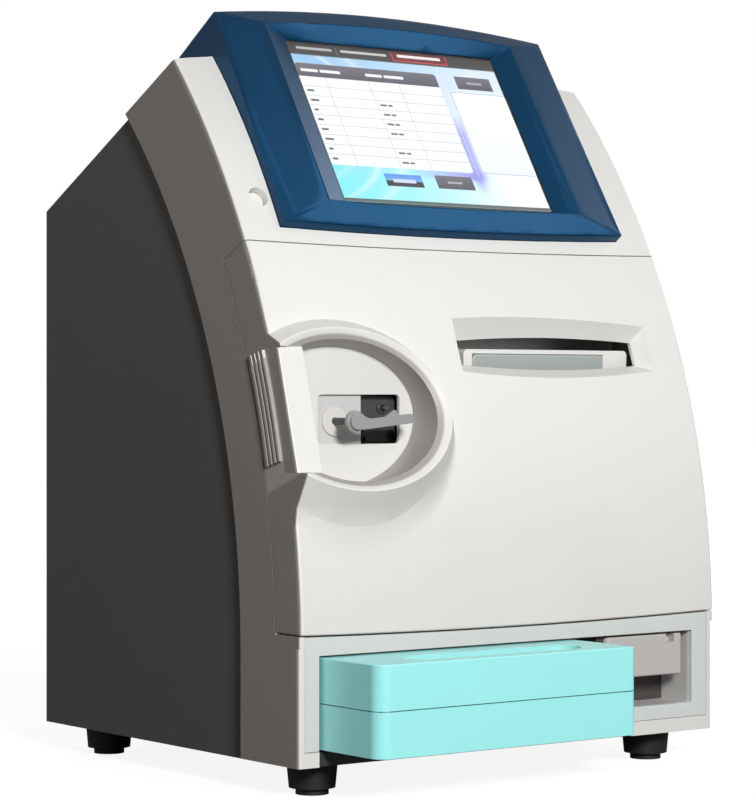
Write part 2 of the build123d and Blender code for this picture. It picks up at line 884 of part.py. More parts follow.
def display_bracket():
    """Folded steel plate that holds the screen against the bezel."""
    front = screen_drop + glass_thickness + lcd_thickness
    back = head_depth - head_wall
    body = screen_slab(front, front + 1.2, glass_width - 4, glass_length - 4)
    body -= screen_slab(front - 1, front + 4, glass_width - 36, glass_length - 46)
    centre = screen_foot + screen_length / 2
    for x in (-glass_width / 2 + 10, glass_width / 2 - 10):
        rail = head_plane(-front) * Pos(x, centre) * Rectangle(1.5, glass_length - 30)
        body += extrude(rail, -(back - front))
    return body


def head_bracket():
    """Bent steel bracket from the chassis plate to the back of the display head."""
    tilt = radians(head_tilt)
    back_y = head_foot_y + head_depth * cos(tilt)
    back_z = head_foot_z - head_depth * sin(tilt)
    sheet = 2.0
    face = chassis_y + chassis_thickness
    near = (back_y + 26 * sin(tilt), back_z + 26 * cos(tilt))
    far = (back_y + 70 * sin(tilt), back_z + 70 * cos(tilt))
    off = (sheet * cos(tilt), -sheet * sin(tilt))
    low = chassis_top - 34
    side = Polygon(
        (face, low), (face + sheet, low), (face + sheet, low + 14),
        (near[0] + off[0], near[1] + off[1]), (far[0] + off[0], far[1] + off[1]),
        far, near, (face, low + 15), align=None,
    )
    return across(side, -60, 60)


def power_button():
    """White round button with its stem, recessed in the left wing."""
    cap = button_bar(button_radius, button_recess, button_recess + button_cap)
    cap = fillet(cap.edges().sort_by(Axis.Z)[-1], 0.6)
    return cap + button_bar(stem_radius, button_recess + button_cap - 0.5, button_sleeve_length + 2)


def button_switch():
    """Switch body behind the power button's sleeve."""
    body = button_bar(button_sleeve, button_sleeve_length, button_sleeve_length + 7)
    return body - button_bar(stem_radius + 0.3, button_sleeve_length - 1, button_sleeve_length + 5)


def sampling_plate():
    """White plate at the bottom of the bay, with the window."""
    plate = box(plate_left, plate_right, plate_y, plate_y + plate_thickness, plate_bottom, plate_top)
    plate = fillet(plate.edges().filter_by(Axis.Y), 8.0)
    window = box(window_left, window_right, plate_y - 1, carrier_y + 1, window_bottom, window_top)
    return plate - fillet(window.edges().filter_by(Axis.Y), 3.0)


def sampling_carrier():
    """Pale plate behind the window that bears the lever's shaft."""
    back = carrier_y + carrier_thickness
    body = box(window_left - 6, port_left - 1, carrier_y, back, window_bottom - 6, window_top + 6)
    body += box(port_left - 1, window_right + 6, carrier_y, back, window_top, window_top + 6)
    return body - rod_y(shaft_radius + running, lever_x, lever_z, carrier_y - 1, back + 1)


def bearing_cap():
    """Disc on the carrier round the shaft, cut away below where the dark guide shows."""
    body = rod_y(disc_radius, lever_x, lever_z, carrier_y - disc_thickness, carrier_y)
    return body - rod_y(shaft_radius + running, lever_x, lever_z, carrier_y - 5, carrier_y + 1)


def lever_shaft():
    """Steel shaft of the sampling lever with its retaining collar."""
    back = carrier_y + carrier_thickness
    body = rod_y(shaft_radius, lever_x, lever_z, hub_back_y - hub_thickness, back + 12)
    return body + rod_y(5.0, lever_x, lever_z, back + fit, back + 4)


def sampling_lever():
    """Grey lever: flanged hub, tapering arm with a rounded end and a small web."""
    front = hub_back_y - hub_thickness
    hub = rod_y(hub_radius, lever_x, lever_z, front, hub_back_y)
    hub += rod_y(hub_radius - 1.7, lever_x, lever_z, front - 2.4, front)
    arm = make_face([
        Line((0, -3.15), (lever_length - 2.9, -2.3)),
        ThreePointArc((lever_length - 2.9, -2.3), (lever_length, 0.6), (lever_length - 2.9, 3.5)),
        Line((lever_length - 2.9, 3.5), (0, 3.15)),
        Line((0, 3.15), (0, -3.15)),
    ])
    plane = Plane(origin=(lever_x, front - 1.9, lever_z), x_dir=(1, 0, 0), z_dir=(0, -1, 0))
    lever = hub + extrude(plane * arm, -3.6)
    web = Polygon((23, 3), (31, 3), (30, 7.0), (27, 7.2), align=None)
    lever += extrude(plane * web, -1.6)
    return lever - rod_y(shaft_radius, lever_x, lever_z, front, hub_back_y + 5)


def port_block():
    """Dark block behind the right half of the window that takes the sample probe."""
    body = box(port_left, port_right, port_front_y, chassis_y, window_bottom - 12, window_top - 1)
    step = port_left + port_step
    front = port_front_y - 1
    body -= box(port_left - 1, step, front, port_front_y + 8, window_bottom - 13, window_bottom + 9)
    body -= box(step, port_right + 1, front, port_front_y + 3, window_bottom - 13, window_bottom + 4)
    return body - rod_y(probe_radius + 0.05, port_ring_x, port_ring_z, port_front_y - 1, port_front_y + 25)


def port_ring():
    """Ring round the sample port."""
    ring = rod_y(port_ring_radius, port_ring_x, port_ring_z, port_front_y - 1.6, port_front_y)
    return ring - rod_y(port_ring_radius - 1.3, port_ring_x, port_ring_z, port_front_y - 3, port_front_y + 1)


def sample_probe():
    """Steel sample probe in the port."""
    return rod_y(probe_radius, port_ring_x, port_ring_z, port_front_y - 7, port_front_y + 20)


def sampling_bracket():
    """Folded sheet bracket between the sampling plate and the chassis plate."""
    left = -chassis_half + 1
    right = plate_right - 5
    body = box(left, right, carrier_y, chassis_y, plate_bottom + 8, plate_top - 6)
    return body - box(
        left + shelf, right - shelf, carrier_y - 1, chassis_y + 1,
        plate_bottom + 8 + shelf, plate_top - 6 - shelf,
    )


def printer_body():
    """White printer housing with the paper bay and the stubs of the paper roll."""
    body = box(printer_left, printer_right, printer_y, chassis_y, printer_bottom, printer_top)
    body = fillet(body.edges().filter_by(Axis.Y).group_by(Axis.Z)[-1], 3.0)
    ledge = printer_y + cover_thickness - 0.5
    recess = box(
        cover_left - fit, cover_right + fit, printer_y - 1, ledge, cover_bottom - fit, cover_top + fit
    )
    body -= recess
    body -= box(
        cover_left + 4, cover_right - 4, printer_y - 1, chassis_y - 2.5, cover_bottom + 4, cover_top - 3.5
    )
    for left, right in ((cover_left + 3, cover_left + 22), (cover_right - 22, cover_right - 3)):
        body += rod_x(core_radius - running, left, right, roll_y, roll_z)
    return body - rod_x(platen_pin + running, cover_left + 1, cover_right - 1, platen_y, platen_z)


def printer_cover():
    """Grey cover of the paper bay, with rounded edges."""
    front = printer_y - 0.5
    cover = box(cover_left, cover_right, front, front + cover_thickness, cover_bottom, cover_top)
    cover = fillet(cover.edges().filter_by(Axis.Y), 4.0)
    return fillet(cover.faces().sort_by(Axis.Y)[0].edges(), 1.2)


def paper_roll():
    """Paper roll on its core."""
    return rod_x(roll_radius, cover_left + 13, cover_right - 13, roll_y, roll_z) - rod_x(
        core_radius, cover_left, cover_right, roll_y, roll_z
    )


def platen_roller():
    """Rubber roller with end pins that feeds the paper."""
    body = rod_x(platen_radius, cover_left + 8, cover_right - 8, platen_y, platen_z)
    return body + rod_x(platen_pin, cover_left + 1.5, cover_right - 1.5, platen_y, platen_z)


def deck_plate():
    """Steel deck over the pack's lane."""
    rear = side_point(frame_radius, deck_z)
    half_in = half - housing_inset - housing_wall
    low = deck_z - deck_thickness
    body = box(-half_in, half_in, rear + fit, depth - housing_wall, low, deck_z)
    return body + box(-half + lip + fit, half - lip - fit, 2 * fascia_thickness, rear + 1, low, deck_z)


def chassis_plate():
    """Upright steel plate that carries the sampling unit, the printer and the pump."""
    plate = box(-chassis_half, chassis_half, chassis_y, chassis_y + chassis_thickness, deck_z, chassis_top)
    plate = fillet(plate.edges().filter_by(Axis.Y).group_by(Axis.Z)[-1], 10.0)
    foot_flange = box(-chassis_half, chassis_half, chassis_y, chassis_y + 14, deck_z, deck_z + 1.5)
    return plate + foot_flange


def pack_plan(grow=0.0):
    """Plan of the pack with its larger front left corner."""
    plan = Pos(pack_left + pack_width / 2, pack_length / 2 - pack_out) * Rectangle(pack_width, pack_length)
    front = plan.vertices().group_by(Axis.Y)[0].sort_by(Axis.X)
    plan = fillet(front[0], pack_big_corner)
    rest = [v for v in plan.vertices() if v.X > 0 or v.Y > 0]
    plan = fillet(rest, pack_small_corner)
    return offset(plan, grow) if grow else plan


def pack_slab(low, high, grow=0.0):
    """The pack's plan between two heights."""
    return Pos(0, 0, low) * extrude(pack_plan(grow), high - low)


def port_places():
    """X of the pack's ports."""
    centre = pack_left + pack_width / 2
    return [centre + (index - (port_count - 1) / 2) * port_pitch for index in range(port_count)]


def pack_lower():
    """Lower half of the reagent pack, with its rear ports."""
    body = pack_slab(pack_bottom, pack_seam_z)
    body -= pack_slab(pack_bottom + pack_wall, pack_seam_z + 1, -pack_wall)
    back = pack_length - pack_out
    for x in port_places():
        body -= rod_y(port_radius, x, spigot_z, back - 4, back + 1)
    return body


def pack_upper():
    """Upper half of the reagent pack, with the finger groove across its top."""
    top = pack_bottom + pack_height
    body = pack_slab(pack_seam_z, top)
    body = fillet(body.faces().sort_by(Axis.Z)[-1].edges(), 0.8)
    body -= pack_slab(pack_seam_z - 1, top - pack_roof, -pack_wall)
    place = Pos((groove_left + groove_right) / 2, -pack_out + 11 + groove_width / 2, top - groove_depth)
    groove = place * extrude(SlotOverall(groove_right - groove_left, groove_width), groove_depth + 1)
    return body - groove


def pack_guide(side):
    """Rail under one edge of the pack, with an upstand behind the frame."""
    right = pack_left + pack_width
    rear = pack_length - pack_out + pack_in_travel
    if side < 0:
        rail = box(pack_left + 2, pack_left + 2 + rail_width, 8, rear, tray_thickness, pack_bottom)
        near = pack_left - fit
        upstand = box(near - rail_wall, near, 64, rear, tray_thickness, pack_bottom + 20)
        tie = box(pack_left - fit - 1, pack_left + 3, 64, rear, tray_thickness, pack_bottom - 1)
        return rail + upstand + tie
    rail = box(right - 2 - rail_width, right - 2, 8, rear, tray_thickness, pack_bottom)
    upstand = box(right + fit, right + fit + rail_wall, 8, rear, tray_thickness, pack_bottom + 20)
    tie = box(right - 3, right + fit + 1, 8, rear, tray_thickness, pack_bottom - 1)
    return rail + upstand + tie


def pack_coupler():
    """Block behind the pack whose spigots enter the pack's ports."""
    front = pack_length - pack_out + pack_in_travel + 1
    pack_right = pack_left + pack_width
    body = box(pack_left + 10, pack_right - 10, front, front + 24, tray_thickness, pack_seam_z + 6)
    for x in port_places():
        body += rod_y(spigot_radius, x, spigot_z, front - spigot_length, front + 1)
        body += rod_y(spigot_radius + 1, x, spigot_z, front + 23, front + 32)
    return body


def bay_liner():
    """Grey liner of the right bay: floor, right wall and back."""
    front = 2 * fascia_thickness
    body = box(bay_left, opening_right + liner, front, bay_depth, bay_floor - liner, bay_floor)
    body += box(opening_right, opening_right + liner, front, bay_depth, bay_floor - liner, opening_top)
    return body + box(
        bay_left - 25, opening_right + liner, bay_depth - liner, bay_depth, bay_floor - liner, opening_top
    )


def latch_back_y():
    """Y of the back of the latch block."""
    return latch_front + latch_depth


def latch_guide():
    """Dark guide beside and behind the latch block, with its upright rail."""
    back = latch_back_y() + fit
    far = back + guide_thickness
    body = box(guide_post_left, guide_post_left + 6, 6, far, tray_thickness, opening_top - 0.2)
    body += box(guide_post_left, opening_right, back, far, bay_floor, opening_top - 0.2)
    return body + box(rail_left, rail_right, back - 3, back + 1, bay_floor, opening_top - 2)


def pack_latch():
    """Grey latch block that is pressed down to free the pack."""
    body = box(latch_left, latch_right, latch_front, latch_back_y(), latch_bottom, latch_top)
    body = fillet(body.edges().filter_by(Axis.Z).group_by(Axis.Y)[0], latch_corner)
    body = fillet(body.edges().filter_by(Axis.Y), 1.2)
    body -= box(
        latch_right - 14.5, latch_right - 7.5, latch_front - 1, latch_front + 6,
        latch_top - 5.5, latch_top + 1,
    )
    back = latch_back_y()
    slot = box(rail_left - fit, rail_right + fit, back - 3.2, back + 1, latch_bottom - 1, latch_top + 1)
    return body - slot


def main_board():
    """Control board that stands on the deck, with its larger parts."""
    x = board_x
    body = box(x, x + 1.6, 112, board_back, deck_z, deck_z + 130)
    for y, z, wide, high, thick in (
        (150, 90, 34, 34, 4), (200, 96, 22, 22, 2.5), (235, 60, 16, 40, 9),
        (140, 40, 30, 12, 11), (190, 30, 40, 10, 9), (235, 105, 24, 16, 6),
    ):
        middle = deck_z + z
        body += box(x - thick, x + 0.5, y - wide / 2, y + wide / 2, middle - high / 2, middle + high / 2)
    return body


def power_supply():
    """Power supply on the deck: vented steel box."""
    right = board_x - supply_gap
    back = depth - 23
    body = box(right - supply_width, right, back - supply_length, back, deck_z, deck_z + supply_height)
    body = fillet(body.edges().filter_by(Axis.Z), 2.0)
    top = deck_z + supply_height
    for index in range(8):
        y = back - 10 - index * 10
        body -= box(right - supply_width + 20, right - 20, y - 1.5, y + 1.5, top - 2, top + 2)
    return body


def measuring_block():
    """Measuring unit on the deck with its heated well block and lamp housing."""
    side = measure_width / 2
    top = deck_z + measure_height
    body = box(measure_x - side, measure_x + side, measure_front, measure_back, deck_z, top)
    body = fillet(body.edges().filter_by(Axis.Z), 6.0)
    middle = (measure_front + measure_back) / 2
    body += rod_z(turret_radius, measure_x, middle, top - 1, deck_z + turret_height)
    return body - rod_z(well_radius, measure_x, middle, deck_z + well_floor, deck_z + turret_height + 1)


def pump_body():
    """Pump housing on the back of the chassis plate with its axle."""
    face = chassis_y + chassis_thickness
    body = rod_y(pump_radius, pump_x, pump_z, face, face + pump_length)
    body += box(pump_x - 30, pump_x + 30, face, face + 4, pump_z - 14, pump_z + 14)
    body -= rod_y(pump_cavity, pump_x, pump_z, face + pump_floor, face + pump_length + 1)
    for z in (10, -10):
        body -= rod_x(2.5, pump_x - pump_radius - 1, pump_x - 14, face + 16, pump_z + z)
    return body + rod_y(axle_radius, pump_x, pump_z, face, face + pump_length - 4)


def pump_rotor():
    """Pump rotor: two discs and three rollers round the axle."""
    front = chassis_y + chassis_thickness + pump_floor + 1
    back = front + 18
    body = rod_y(7.0, pump_x, pump_z, front, back)
    body += rod_y(15.0, pump_x, pump_z, front, front + 2.5) + rod_y(15.0, pump_x, pump_z, back - 2.5, back)
    for index in range(3):
        angle = radians(90 + 120 * index)
        body += rod_y(4.5, pump_x + 13 * cos(angle), pump_z + 13 * sin(angle), front + 0.5, back - 0.5)
    return body - rod_y(axle_radius + running, pump_x, pump_z, front - 1, back + 1)


def fan_frame():
    """Square fan frame on the rear panel with its struts and pin."""
    back = depth - housing_wall - 2
    front = back - fan_depth
    side = fan_size / 2
    body = box(fan_x - side, fan_x + side, front, back, fan_z - side, fan_z + side)
    body = fillet(body.edges().filter_by(Axis.Y), 4.0)
    body -= rod_y(fan_bore, fan_x, fan_z, front - 1, back + 1)
    struts = box(fan_x - fan_bore - 1, fan_x + fan_bore + 1, back - 3, back, fan_z - 2, fan_z + 2)
    struts += box(fan_x - 2, fan_x + 2, back - 3, back, fan_z - fan_bore - 1, fan_z + fan_bore + 1)
    body += struts + rod_y(fan_hub, fan_x, fan_z, back - 3, back)
    return body + rod_y(1.45, fan_x, fan_z, front + 5, back)


def fan_rotor():
    """Fan rotor: hub and pitched blades."""
    back = depth - housing_wall - 2
    low = back - fan_depth + 2.5
    high = back - 4
    body = rod_y(fan_hub, fan_x, fan_z, low, high)
    blade = Pos(0, 0, (fan_hub + fan_bore - 1) / 2 - 0.5) * Rot(0, 0, 38) * Box(1.6, 21, fan_bore - fan_hub)
    for index in range(fan_blades):
        turn = Pos(fan_x, (low + high) / 2, fan_z) * Rot(0, index * 360 / fan_blades, 0)
        body += turn * blade
    return body - rod_y(1.5, fan_x, fan_z, low - 1, high + 1)


def door_catch():
    """Magnet block on the top of the chassis plate that holds the door closed."""
    body = box(-14, 14, chassis_y - 4, chassis_y, chassis_top - 12, chassis_top - 1)
    return fillet(body.edges().filter_by(Axis.Z).group_by(Axis.Y)[0], 1.0)


nodes = {
    "front_frame": front_frame(),
    "fascia_panel": fascia_panel(),
    "door_panel": door_panel(),
    "grip_strip": grip_strip(),
    "hinge_pin_left": hinge_pin(-1),
    "hinge_pin_right": hinge_pin(1),
    "hinge_bracket_left": hinge_bracket(-1),
    "hinge_bracket_right": hinge_bracket(1),
    "rear_housing": rear_housing(),
    "rear_panel": rear_panel(),
    "case_screws": case_screws(),
    "power_inlet": power_inlet(),
    "base_tray": base_tray(),
    "foot_front_left": foot(-foot_x, foot_front_y),
    "foot_front_right": foot(foot_x, foot_front_y),
    "foot_rear_left": foot(-foot_x, foot_rear_y),
    "foot_rear_right": foot(foot_x, foot_rear_y),
    "display_bezel": display_bezel(),
    "display_back_cover": display_back_cover(),
    "touch_glass": touch_glass(),
    "lcd_panel": lcd_panel(),
    "display_bracket": display_bracket(),
    "head_bracket": head_bracket(),
    "power_button": power_button(),
    "button_switch": button_switch(),
    "sampling_plate": sampling_plate(),
    "sampling_carrier": sampling_carrier(),
    "bearing_cap": bearing_cap(),
    "lever_shaft": lever_shaft(),
    "sampling_lever": sampling_lever(),
    "port_block": port_block(),
    "port_ring": port_ring(),
    "sample_probe": sample_probe(),
    "sampling_bracket": sampling_bracket(),
    "printer_body": printer_body(),
    "printer_cover": printer_cover(),
    "paper_roll": paper_roll(),
    "platen_roller": platen_roller(),
    "deck_plate": deck_plate(),
    "chassis_plate": chassis_plate(),
    "pack_lower": pack_lower(),
    "pack_upper": pack_upper(),
    "pack_guide_left": pack_guide(-1),
    "pack_guide_right": pack_guide(1),
    "pack_coupler": pack_coupler(),
    "bay_liner": bay_liner(),
    "latch_guide": latch_guide(),
    "pack_latch": pack_latch(),
    "main_board": main_board(),
    "power_supply": power_supply(),
    "measuring_block": measuring_block(),
    "pump_body": pump_body(),
    "pump_rotor": pump_rotor(),
    "fan_frame": fan_frame(),
    "fan_rotor": fan_rotor(),
    "door_catch": door_catch(),
}

# The origin is the middle of the bounding box, at the height of the table
back_most = depth + screw_head
shift = (0, (pack_out - back_most) / 2, foot_height)

os.makedirs("parts", exist_ok=True)
for name, solid in nodes.items():
    export_step(Pos(*shift) * solid, "parts/" + name + ".step")
print("origin shift", shift)
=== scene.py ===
import math

import bpy
import numpy as np
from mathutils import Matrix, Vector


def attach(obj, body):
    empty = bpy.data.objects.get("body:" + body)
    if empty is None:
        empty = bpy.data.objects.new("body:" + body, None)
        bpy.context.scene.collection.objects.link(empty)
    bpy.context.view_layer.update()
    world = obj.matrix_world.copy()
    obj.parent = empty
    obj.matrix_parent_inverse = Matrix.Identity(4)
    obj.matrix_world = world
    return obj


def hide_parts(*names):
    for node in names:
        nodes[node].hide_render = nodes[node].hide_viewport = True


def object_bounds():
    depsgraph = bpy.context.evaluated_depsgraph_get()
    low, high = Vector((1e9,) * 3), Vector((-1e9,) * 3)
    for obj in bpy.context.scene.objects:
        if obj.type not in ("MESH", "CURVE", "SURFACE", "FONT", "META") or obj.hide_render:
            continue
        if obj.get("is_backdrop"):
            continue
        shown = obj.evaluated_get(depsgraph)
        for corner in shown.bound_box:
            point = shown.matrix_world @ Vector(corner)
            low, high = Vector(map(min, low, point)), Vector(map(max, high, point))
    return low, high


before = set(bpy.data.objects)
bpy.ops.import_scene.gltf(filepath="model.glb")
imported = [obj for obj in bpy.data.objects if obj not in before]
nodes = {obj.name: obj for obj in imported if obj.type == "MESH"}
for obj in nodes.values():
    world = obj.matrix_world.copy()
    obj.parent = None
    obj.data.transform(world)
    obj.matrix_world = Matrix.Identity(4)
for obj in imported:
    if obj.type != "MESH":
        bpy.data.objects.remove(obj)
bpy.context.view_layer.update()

# The photo corner: a pale bench, a white surround and a camera level with the lower half of the door.
# The key lamp stands to the front left, a little above the screen, so soft shadows fall right and down.
camera_place = (-1.0754, -1.4190, 0.2383)
camera_side = -36.789
film_width, lens_length = 36.0, 122.48
frame_shift = -0.0073
camera_data = bpy.data.cameras.new("bench_camera")
camera = bpy.data.objects.new("bench_camera", camera_data)
bpy.context.scene.collection.objects.link(camera)
camera.location = camera_place
camera.rotation_euler = (math.pi / 2, 0.0, math.radians(camera_side))
camera_data.sensor_width = film_width
camera_data.lens = lens_length
camera_data.shift_y = frame_shift
camera_data.clip_start = 0.05
bpy.context.scene.camera = camera
bpy.context.scene.view_settings.view_transform = "Standard"

lit_y, lit_z = -0.1, 0.25


def soft_box(name, side, height, distance, size, watts, tint):
    """A square lamp at an angle right of the front and a height angle, both in degrees, facing the case."""
    lamp = bpy.data.lights.new(name, "AREA")
    lamp.shape = "SQUARE"
    lamp.size = size
    lamp.energy = watts
    lamp.color = tint
    thing = bpy.data.objects.new(name, lamp)
    bpy.context.scene.collection.objects.link(thing)
    turn, lift = math.radians(side), math.radians(height)
    thing.location = (
        distance * math.sin(turn) * math.cos(lift),
        lit_y - distance * math.cos(turn) * math.cos(lift),
        lit_z + distance * math.sin(lift),
    )
    thing.rotation_euler = (math.pi / 2 - lift, 0.0, turn)
    return thing


soft_box("key_box", -21, 19.5, 2.6, 0.45, 63.0, (1.0, 0.995, 0.985))
soft_box("right_box", 95, 22, 2.4, 0.9, 10.0, (1.0, 0.99, 0.98))
soft_box("rear_box", 168, 24, 2.5, 0.9, 12.0, (1.0, 0.99, 0.98))
gloss_box = soft_box("gloss_box", 42, 34, 2.4, 0.8, 16.0, (0.95, 0.98, 1.0))
gloss_box.data.shape = "RECTANGLE"
gloss_box.data.size_y = 2.0
gloss_box.visible_diffuse = False


def shader_node(tree, kind, inputs=None, **settings):
    """A new shader node with its settings; inputs maps a socket's name or number to a value or to a link."""
    made = tree.nodes.new("ShaderNode" + kind)
    for setting, value in settings.items():
        setattr(made, setting, value)
    for socket, value in (inputs or {}).items():
        if isinstance(value, bpy.types.NodeSocket):
            tree.links.new(value, made.inputs[socket])
        else:
            made.inputs[socket].default_value = value
    return made


world = bpy.data.worlds.new("white_room")
bpy.context.scene.world = world
world.use_nodes = True
sky = world.node_tree
sky.nodes.clear()
ray = shader_node(sky, "LightPath")


def backdrop(tint, strength, below=None, asked=""):
    """World shader of one tint and strength for the rays that asked names, and below for the others."""
    shade = shader_node(sky, "Background", {"Color": (*tint, 1.0), "Strength": strength})
    if below is None:
        return shade
    inputs = {"Fac": ray.outputs[asked], 1: below.outputs[0], 2: shade.outputs[0]}
    return shader_node(sky, "MixShader", inputs)


pure_white = (1.0, 1.0, 1.0)
room = backdrop((1.0, 0.95, 0.90), 0.10)
room = backdrop((1.0, 0.99, 0.97), 0.45, room, "Is Glossy Ray")
room = backdrop(pure_white, 1.0, room, "Is Transmission Ray")
room = backdrop(pure_white, 1.0, room, "Is Camera Ray")
shader_node(sky, "OutputWorld", {"Surface": room.outputs[0]})


def mesh_piece(name, points, faces, material, smooth=True):
    """A new object at the origin from an (n, 3) array of points in metres and rows of corner numbers."""
    mesh = bpy.data.meshes.new(name)
    mesh.from_pydata(np.asarray(points, float).tolist(), [], [list(map(int, f)) for f in faces])
    mesh.polygons.foreach_set("use_smooth", np.full(len(mesh.polygons), smooth))
    mesh.materials.append(material)
    mesh.update()
    piece = bpy.data.objects.new(name, mesh)
    bpy.context.scene.collection.objects.link(piece)
    return piece


def eased(tree, source, low, high, **ends):
    """A smooth step of source from 0 at low to 1 at high; ends may give To_Min and To_Max."""
    inputs = {"Value": source, "From Min": low, "From Max": high}
    inputs.update({end.replace("_", " "): value for end, value in ends.items()})
    return shader_node(tree, "MapRange", inputs, interpolation_type="SMOOTHSTEP").outputs["Result"]


# The bench shows the object's shadow and is lit by itself for the camera: 0.90 near the case, white far away.
floor_reach = 9.0
glow_near, glow_far = 0.5, 2.2
floor_finish = bpy.data.materials.new("pale_floor")
floor_finish.use_nodes = True
bench = floor_finish.node_tree
bench.nodes.clear()
floor_place = shader_node(bench, "TexCoord")
away = shader_node(bench, "VectorMath", {0: floor_place.outputs["Object"]}, operation="LENGTH")
fade = eased(bench, away.outputs["Value"], glow_near, glow_far, To_Min=0.90, To_Max=1.0)
floor_ray = shader_node(bench, "LightPath")
seen = shader_node(bench, "Math", {0: floor_ray.outputs["Is Camera Ray"], 1: fade}, operation="MULTIPLY")
paint = shader_node(bench, "BsdfDiffuse", {"Color": (0.22, 0.22, 0.218, 1.0)})
glow = shader_node(bench, "Emission", {"Strength": seen.outputs[0]})
both = shader_node(bench, "AddShader", {0: paint.outputs[0], 1: glow.outputs[0]})
shader_node(bench, "OutputMaterial", {"Surface": both.outputs[0]})
floor = mesh_piece(
    "floor",
    [(-floor_reach, -floor_reach, 0), (floor_reach, -floor_reach, 0),
     (floor_reach, floor_reach, 0), (-floor_reach, floor_reach, 0)],
    [(0, 1, 2, 3)], floor_finish, smooth=False,
)
floor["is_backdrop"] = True


# Feet: four moulded rubber feet, each a tapered body on a smaller pad that stands on the bench, pressed into
# the base. The rubber is dull black with the fine pitting of its mould.
grain_depth = 0.00003
patch_scale = 14.0
sharp_from = math.radians(35)
weld_reach = 0.000005


def linear_light(share):
    """Screen values from 0 to 1 as linear light, by the sRGB curve."""
    return np.where(share <= 0.04045, share / 12.92, ((share + 0.055) / 1.055) ** 2.4)


def linear(red, green, blue):
    """A screen colour from 0 to 255 as linear light."""
    return tuple(linear_light(np.array((red, green, blue), float) / 255))


def shades(tree, source, colour, darker, lighter, start=0.0, end=1.0):
    """A ramp from the colour times darker to the colour times lighter, as source goes from start to end."""
    tone = shader_node(tree, "ValToRGB", {"Fac": source})
    for stop, place, factor in zip(tone.color_ramp.elements, (start, end), (darker, lighter)):
        stop.position = place
        stop.color = (*[min(1.0, c * factor) for c in colour], 1.0)
    return tone.outputs["Color"]


def moulded(name, colour, roughness, grain=0.35, grain_size=0.0007, drift=0.03, sides=None, **extra):
    """Plastic: colour with a slow drift, patches in the gloss and a fine grain; sides paints a shade colour
    on the flanks where they face sideways.
    """
    finish = bpy.data.materials.new(name)
    finish.use_nodes = True
    t = finish.node_tree
    skin = t.nodes["Principled BSDF"]
    for socket, value in extra.items():
        skin.inputs[socket.replace("_", " ")].default_value = value
    where = shader_node(t, "TexCoord").outputs["Object"]
    slow = shader_node(t, "TexNoise", {"Vector": where, "Scale": patch_scale, "Detail": 4.0}).outputs["Fac"]
    shown = shades(t, slow, colour, 1 - drift, 1 + drift * 0.5, 0.3, 0.7)
    # Painted shade: the flanks that face sideways, and the outermost edge, take the darker colour given for
    # them.
    if sides:
        shown = paint_flank_shade(t, where, slow, shown, sides)
    t.links.new(shown, skin.inputs["Base Color"])
    rub = shader_node(t, "MapRange", {
        "Value": slow, "To Min": max(0.0, roughness - 0.05), "To Max": roughness + 0.06
    })
    t.links.new(rub.outputs["Result"], skin.inputs["Roughness"])
    fine = shader_node(t, "TexNoise", {"Vector": where, "Scale": 1.0 / grain_size, "Detail": 2.0})
    bump = shader_node(t, "Bump", {"Strength": grain, "Distance": grain_depth, "Height": fine.outputs["Fac"]})
    t.links.new(bump.outputs["Normal"], skin.inputs["Normal"])
    return finish


def round_edges(thing, width, segments):
    """A small round on every edge that is sharper than 35 degrees."""
    bevel = thing.modifiers.new("edges", "BEVEL")
    bevel.width = width
    bevel.segments = segments
    bevel.limit_method = "ANGLE"
    bevel.angle_limit = sharp_from
    bevel.harden_normals = True


def dress(material, *names, edge=0.0004, evened=True):
    """Gives CAD nodes a material and, with edge, rounded edges; evened weights the shading by face area."""
    for name in names:
        thing = nodes[name]
        thing.data.materials.clear()
        thing.data.materials.append(material)
        if edge:
            weld = thing.modifiers.new("closed", "WELD")
            weld.merge_threshold = weld_reach
            round_edges(thing, edge, 2)
        if edge and evened:
            even = thing.modifiers.new("shading", "WEIGHTED_NORMAL")
            even.keep_sharp = False
            even.weight = 80


rubber = moulded("foot_rubber", (0.010, 0.010, 0.010), 0.6, grain=0.6, drift=0.2)
dress(rubber, "foot_front_left", "foot_front_right", "foot_rear_left", "foot_rear_right")


# Base tray: the dark moulded floor that carries everything, with its front lip showing as a black strip
# under the reagent pack.
tray_black = moulded("tray_plastic", linear(52, 54, 55), 0.5, grain=0.6, grain_size=0.0010, drift=0.08)
dress(tray_black, "base_tray")


# Front frame and fascia: one white moulding with the two wings beside the screen and the flat base front, and
# a cooler white panel let into its front round the pack. Up to the front round, the flanks where they face
# sideways and a thin band on the outermost edge are painted a warm grey as their shade.
flank_inner, flank_outer = 0.1612, 0.1640
edge_inner, edge_outer = 0.1643, 0.1652
least_turn, full_turn = 0.55, 0.97


def paint_flank_shade(t, where, slow, front_colour, shade_colour):
    """Painted shade: mixes to the shade colour where the surface faces sideways near the outer flanks, and on
    the outermost edge.
    """
    facing = shader_node(t, "NewGeometry").outputs["Normal"]
    steps = []
    for source, low, high in ((facing, least_turn, full_turn), (where, flank_inner, flank_outer)):
        place = shader_node(t, "SeparateXYZ", {0: source})
        size = shader_node(t, "Math", {0: place.outputs["X"]}, operation="ABSOLUTE").outputs[0]
        steps.append(eased(t, size, low, high))
    part = shader_node(t, "Math", {0: steps[0], 1: steps[1]}, operation="MULTIPLY")
    middle, half_width = (edge_inner + edge_outer) / 2, (edge_outer - edge_inner) / 2
    outer = shader_node(t, "Math", {0: size, 1: middle, 2: half_width}, operation="COMPARE")
    painted = shader_node(t, "Math", {0: part.outputs[0], 1: outer.outputs[0]}, operation="MAXIMUM")
    mix = shader_node(t, "Mix", data_type="RGBA")
    t.links.new(painted.outputs[0], mix.inputs["Factor"])
    t.links.new(front_colour, mix.inputs["A"])
    t.links.new(shades(t, slow, shade_colour, 0.97, 1.03), mix.inputs["B"])
    return mix.outputs["Result"]
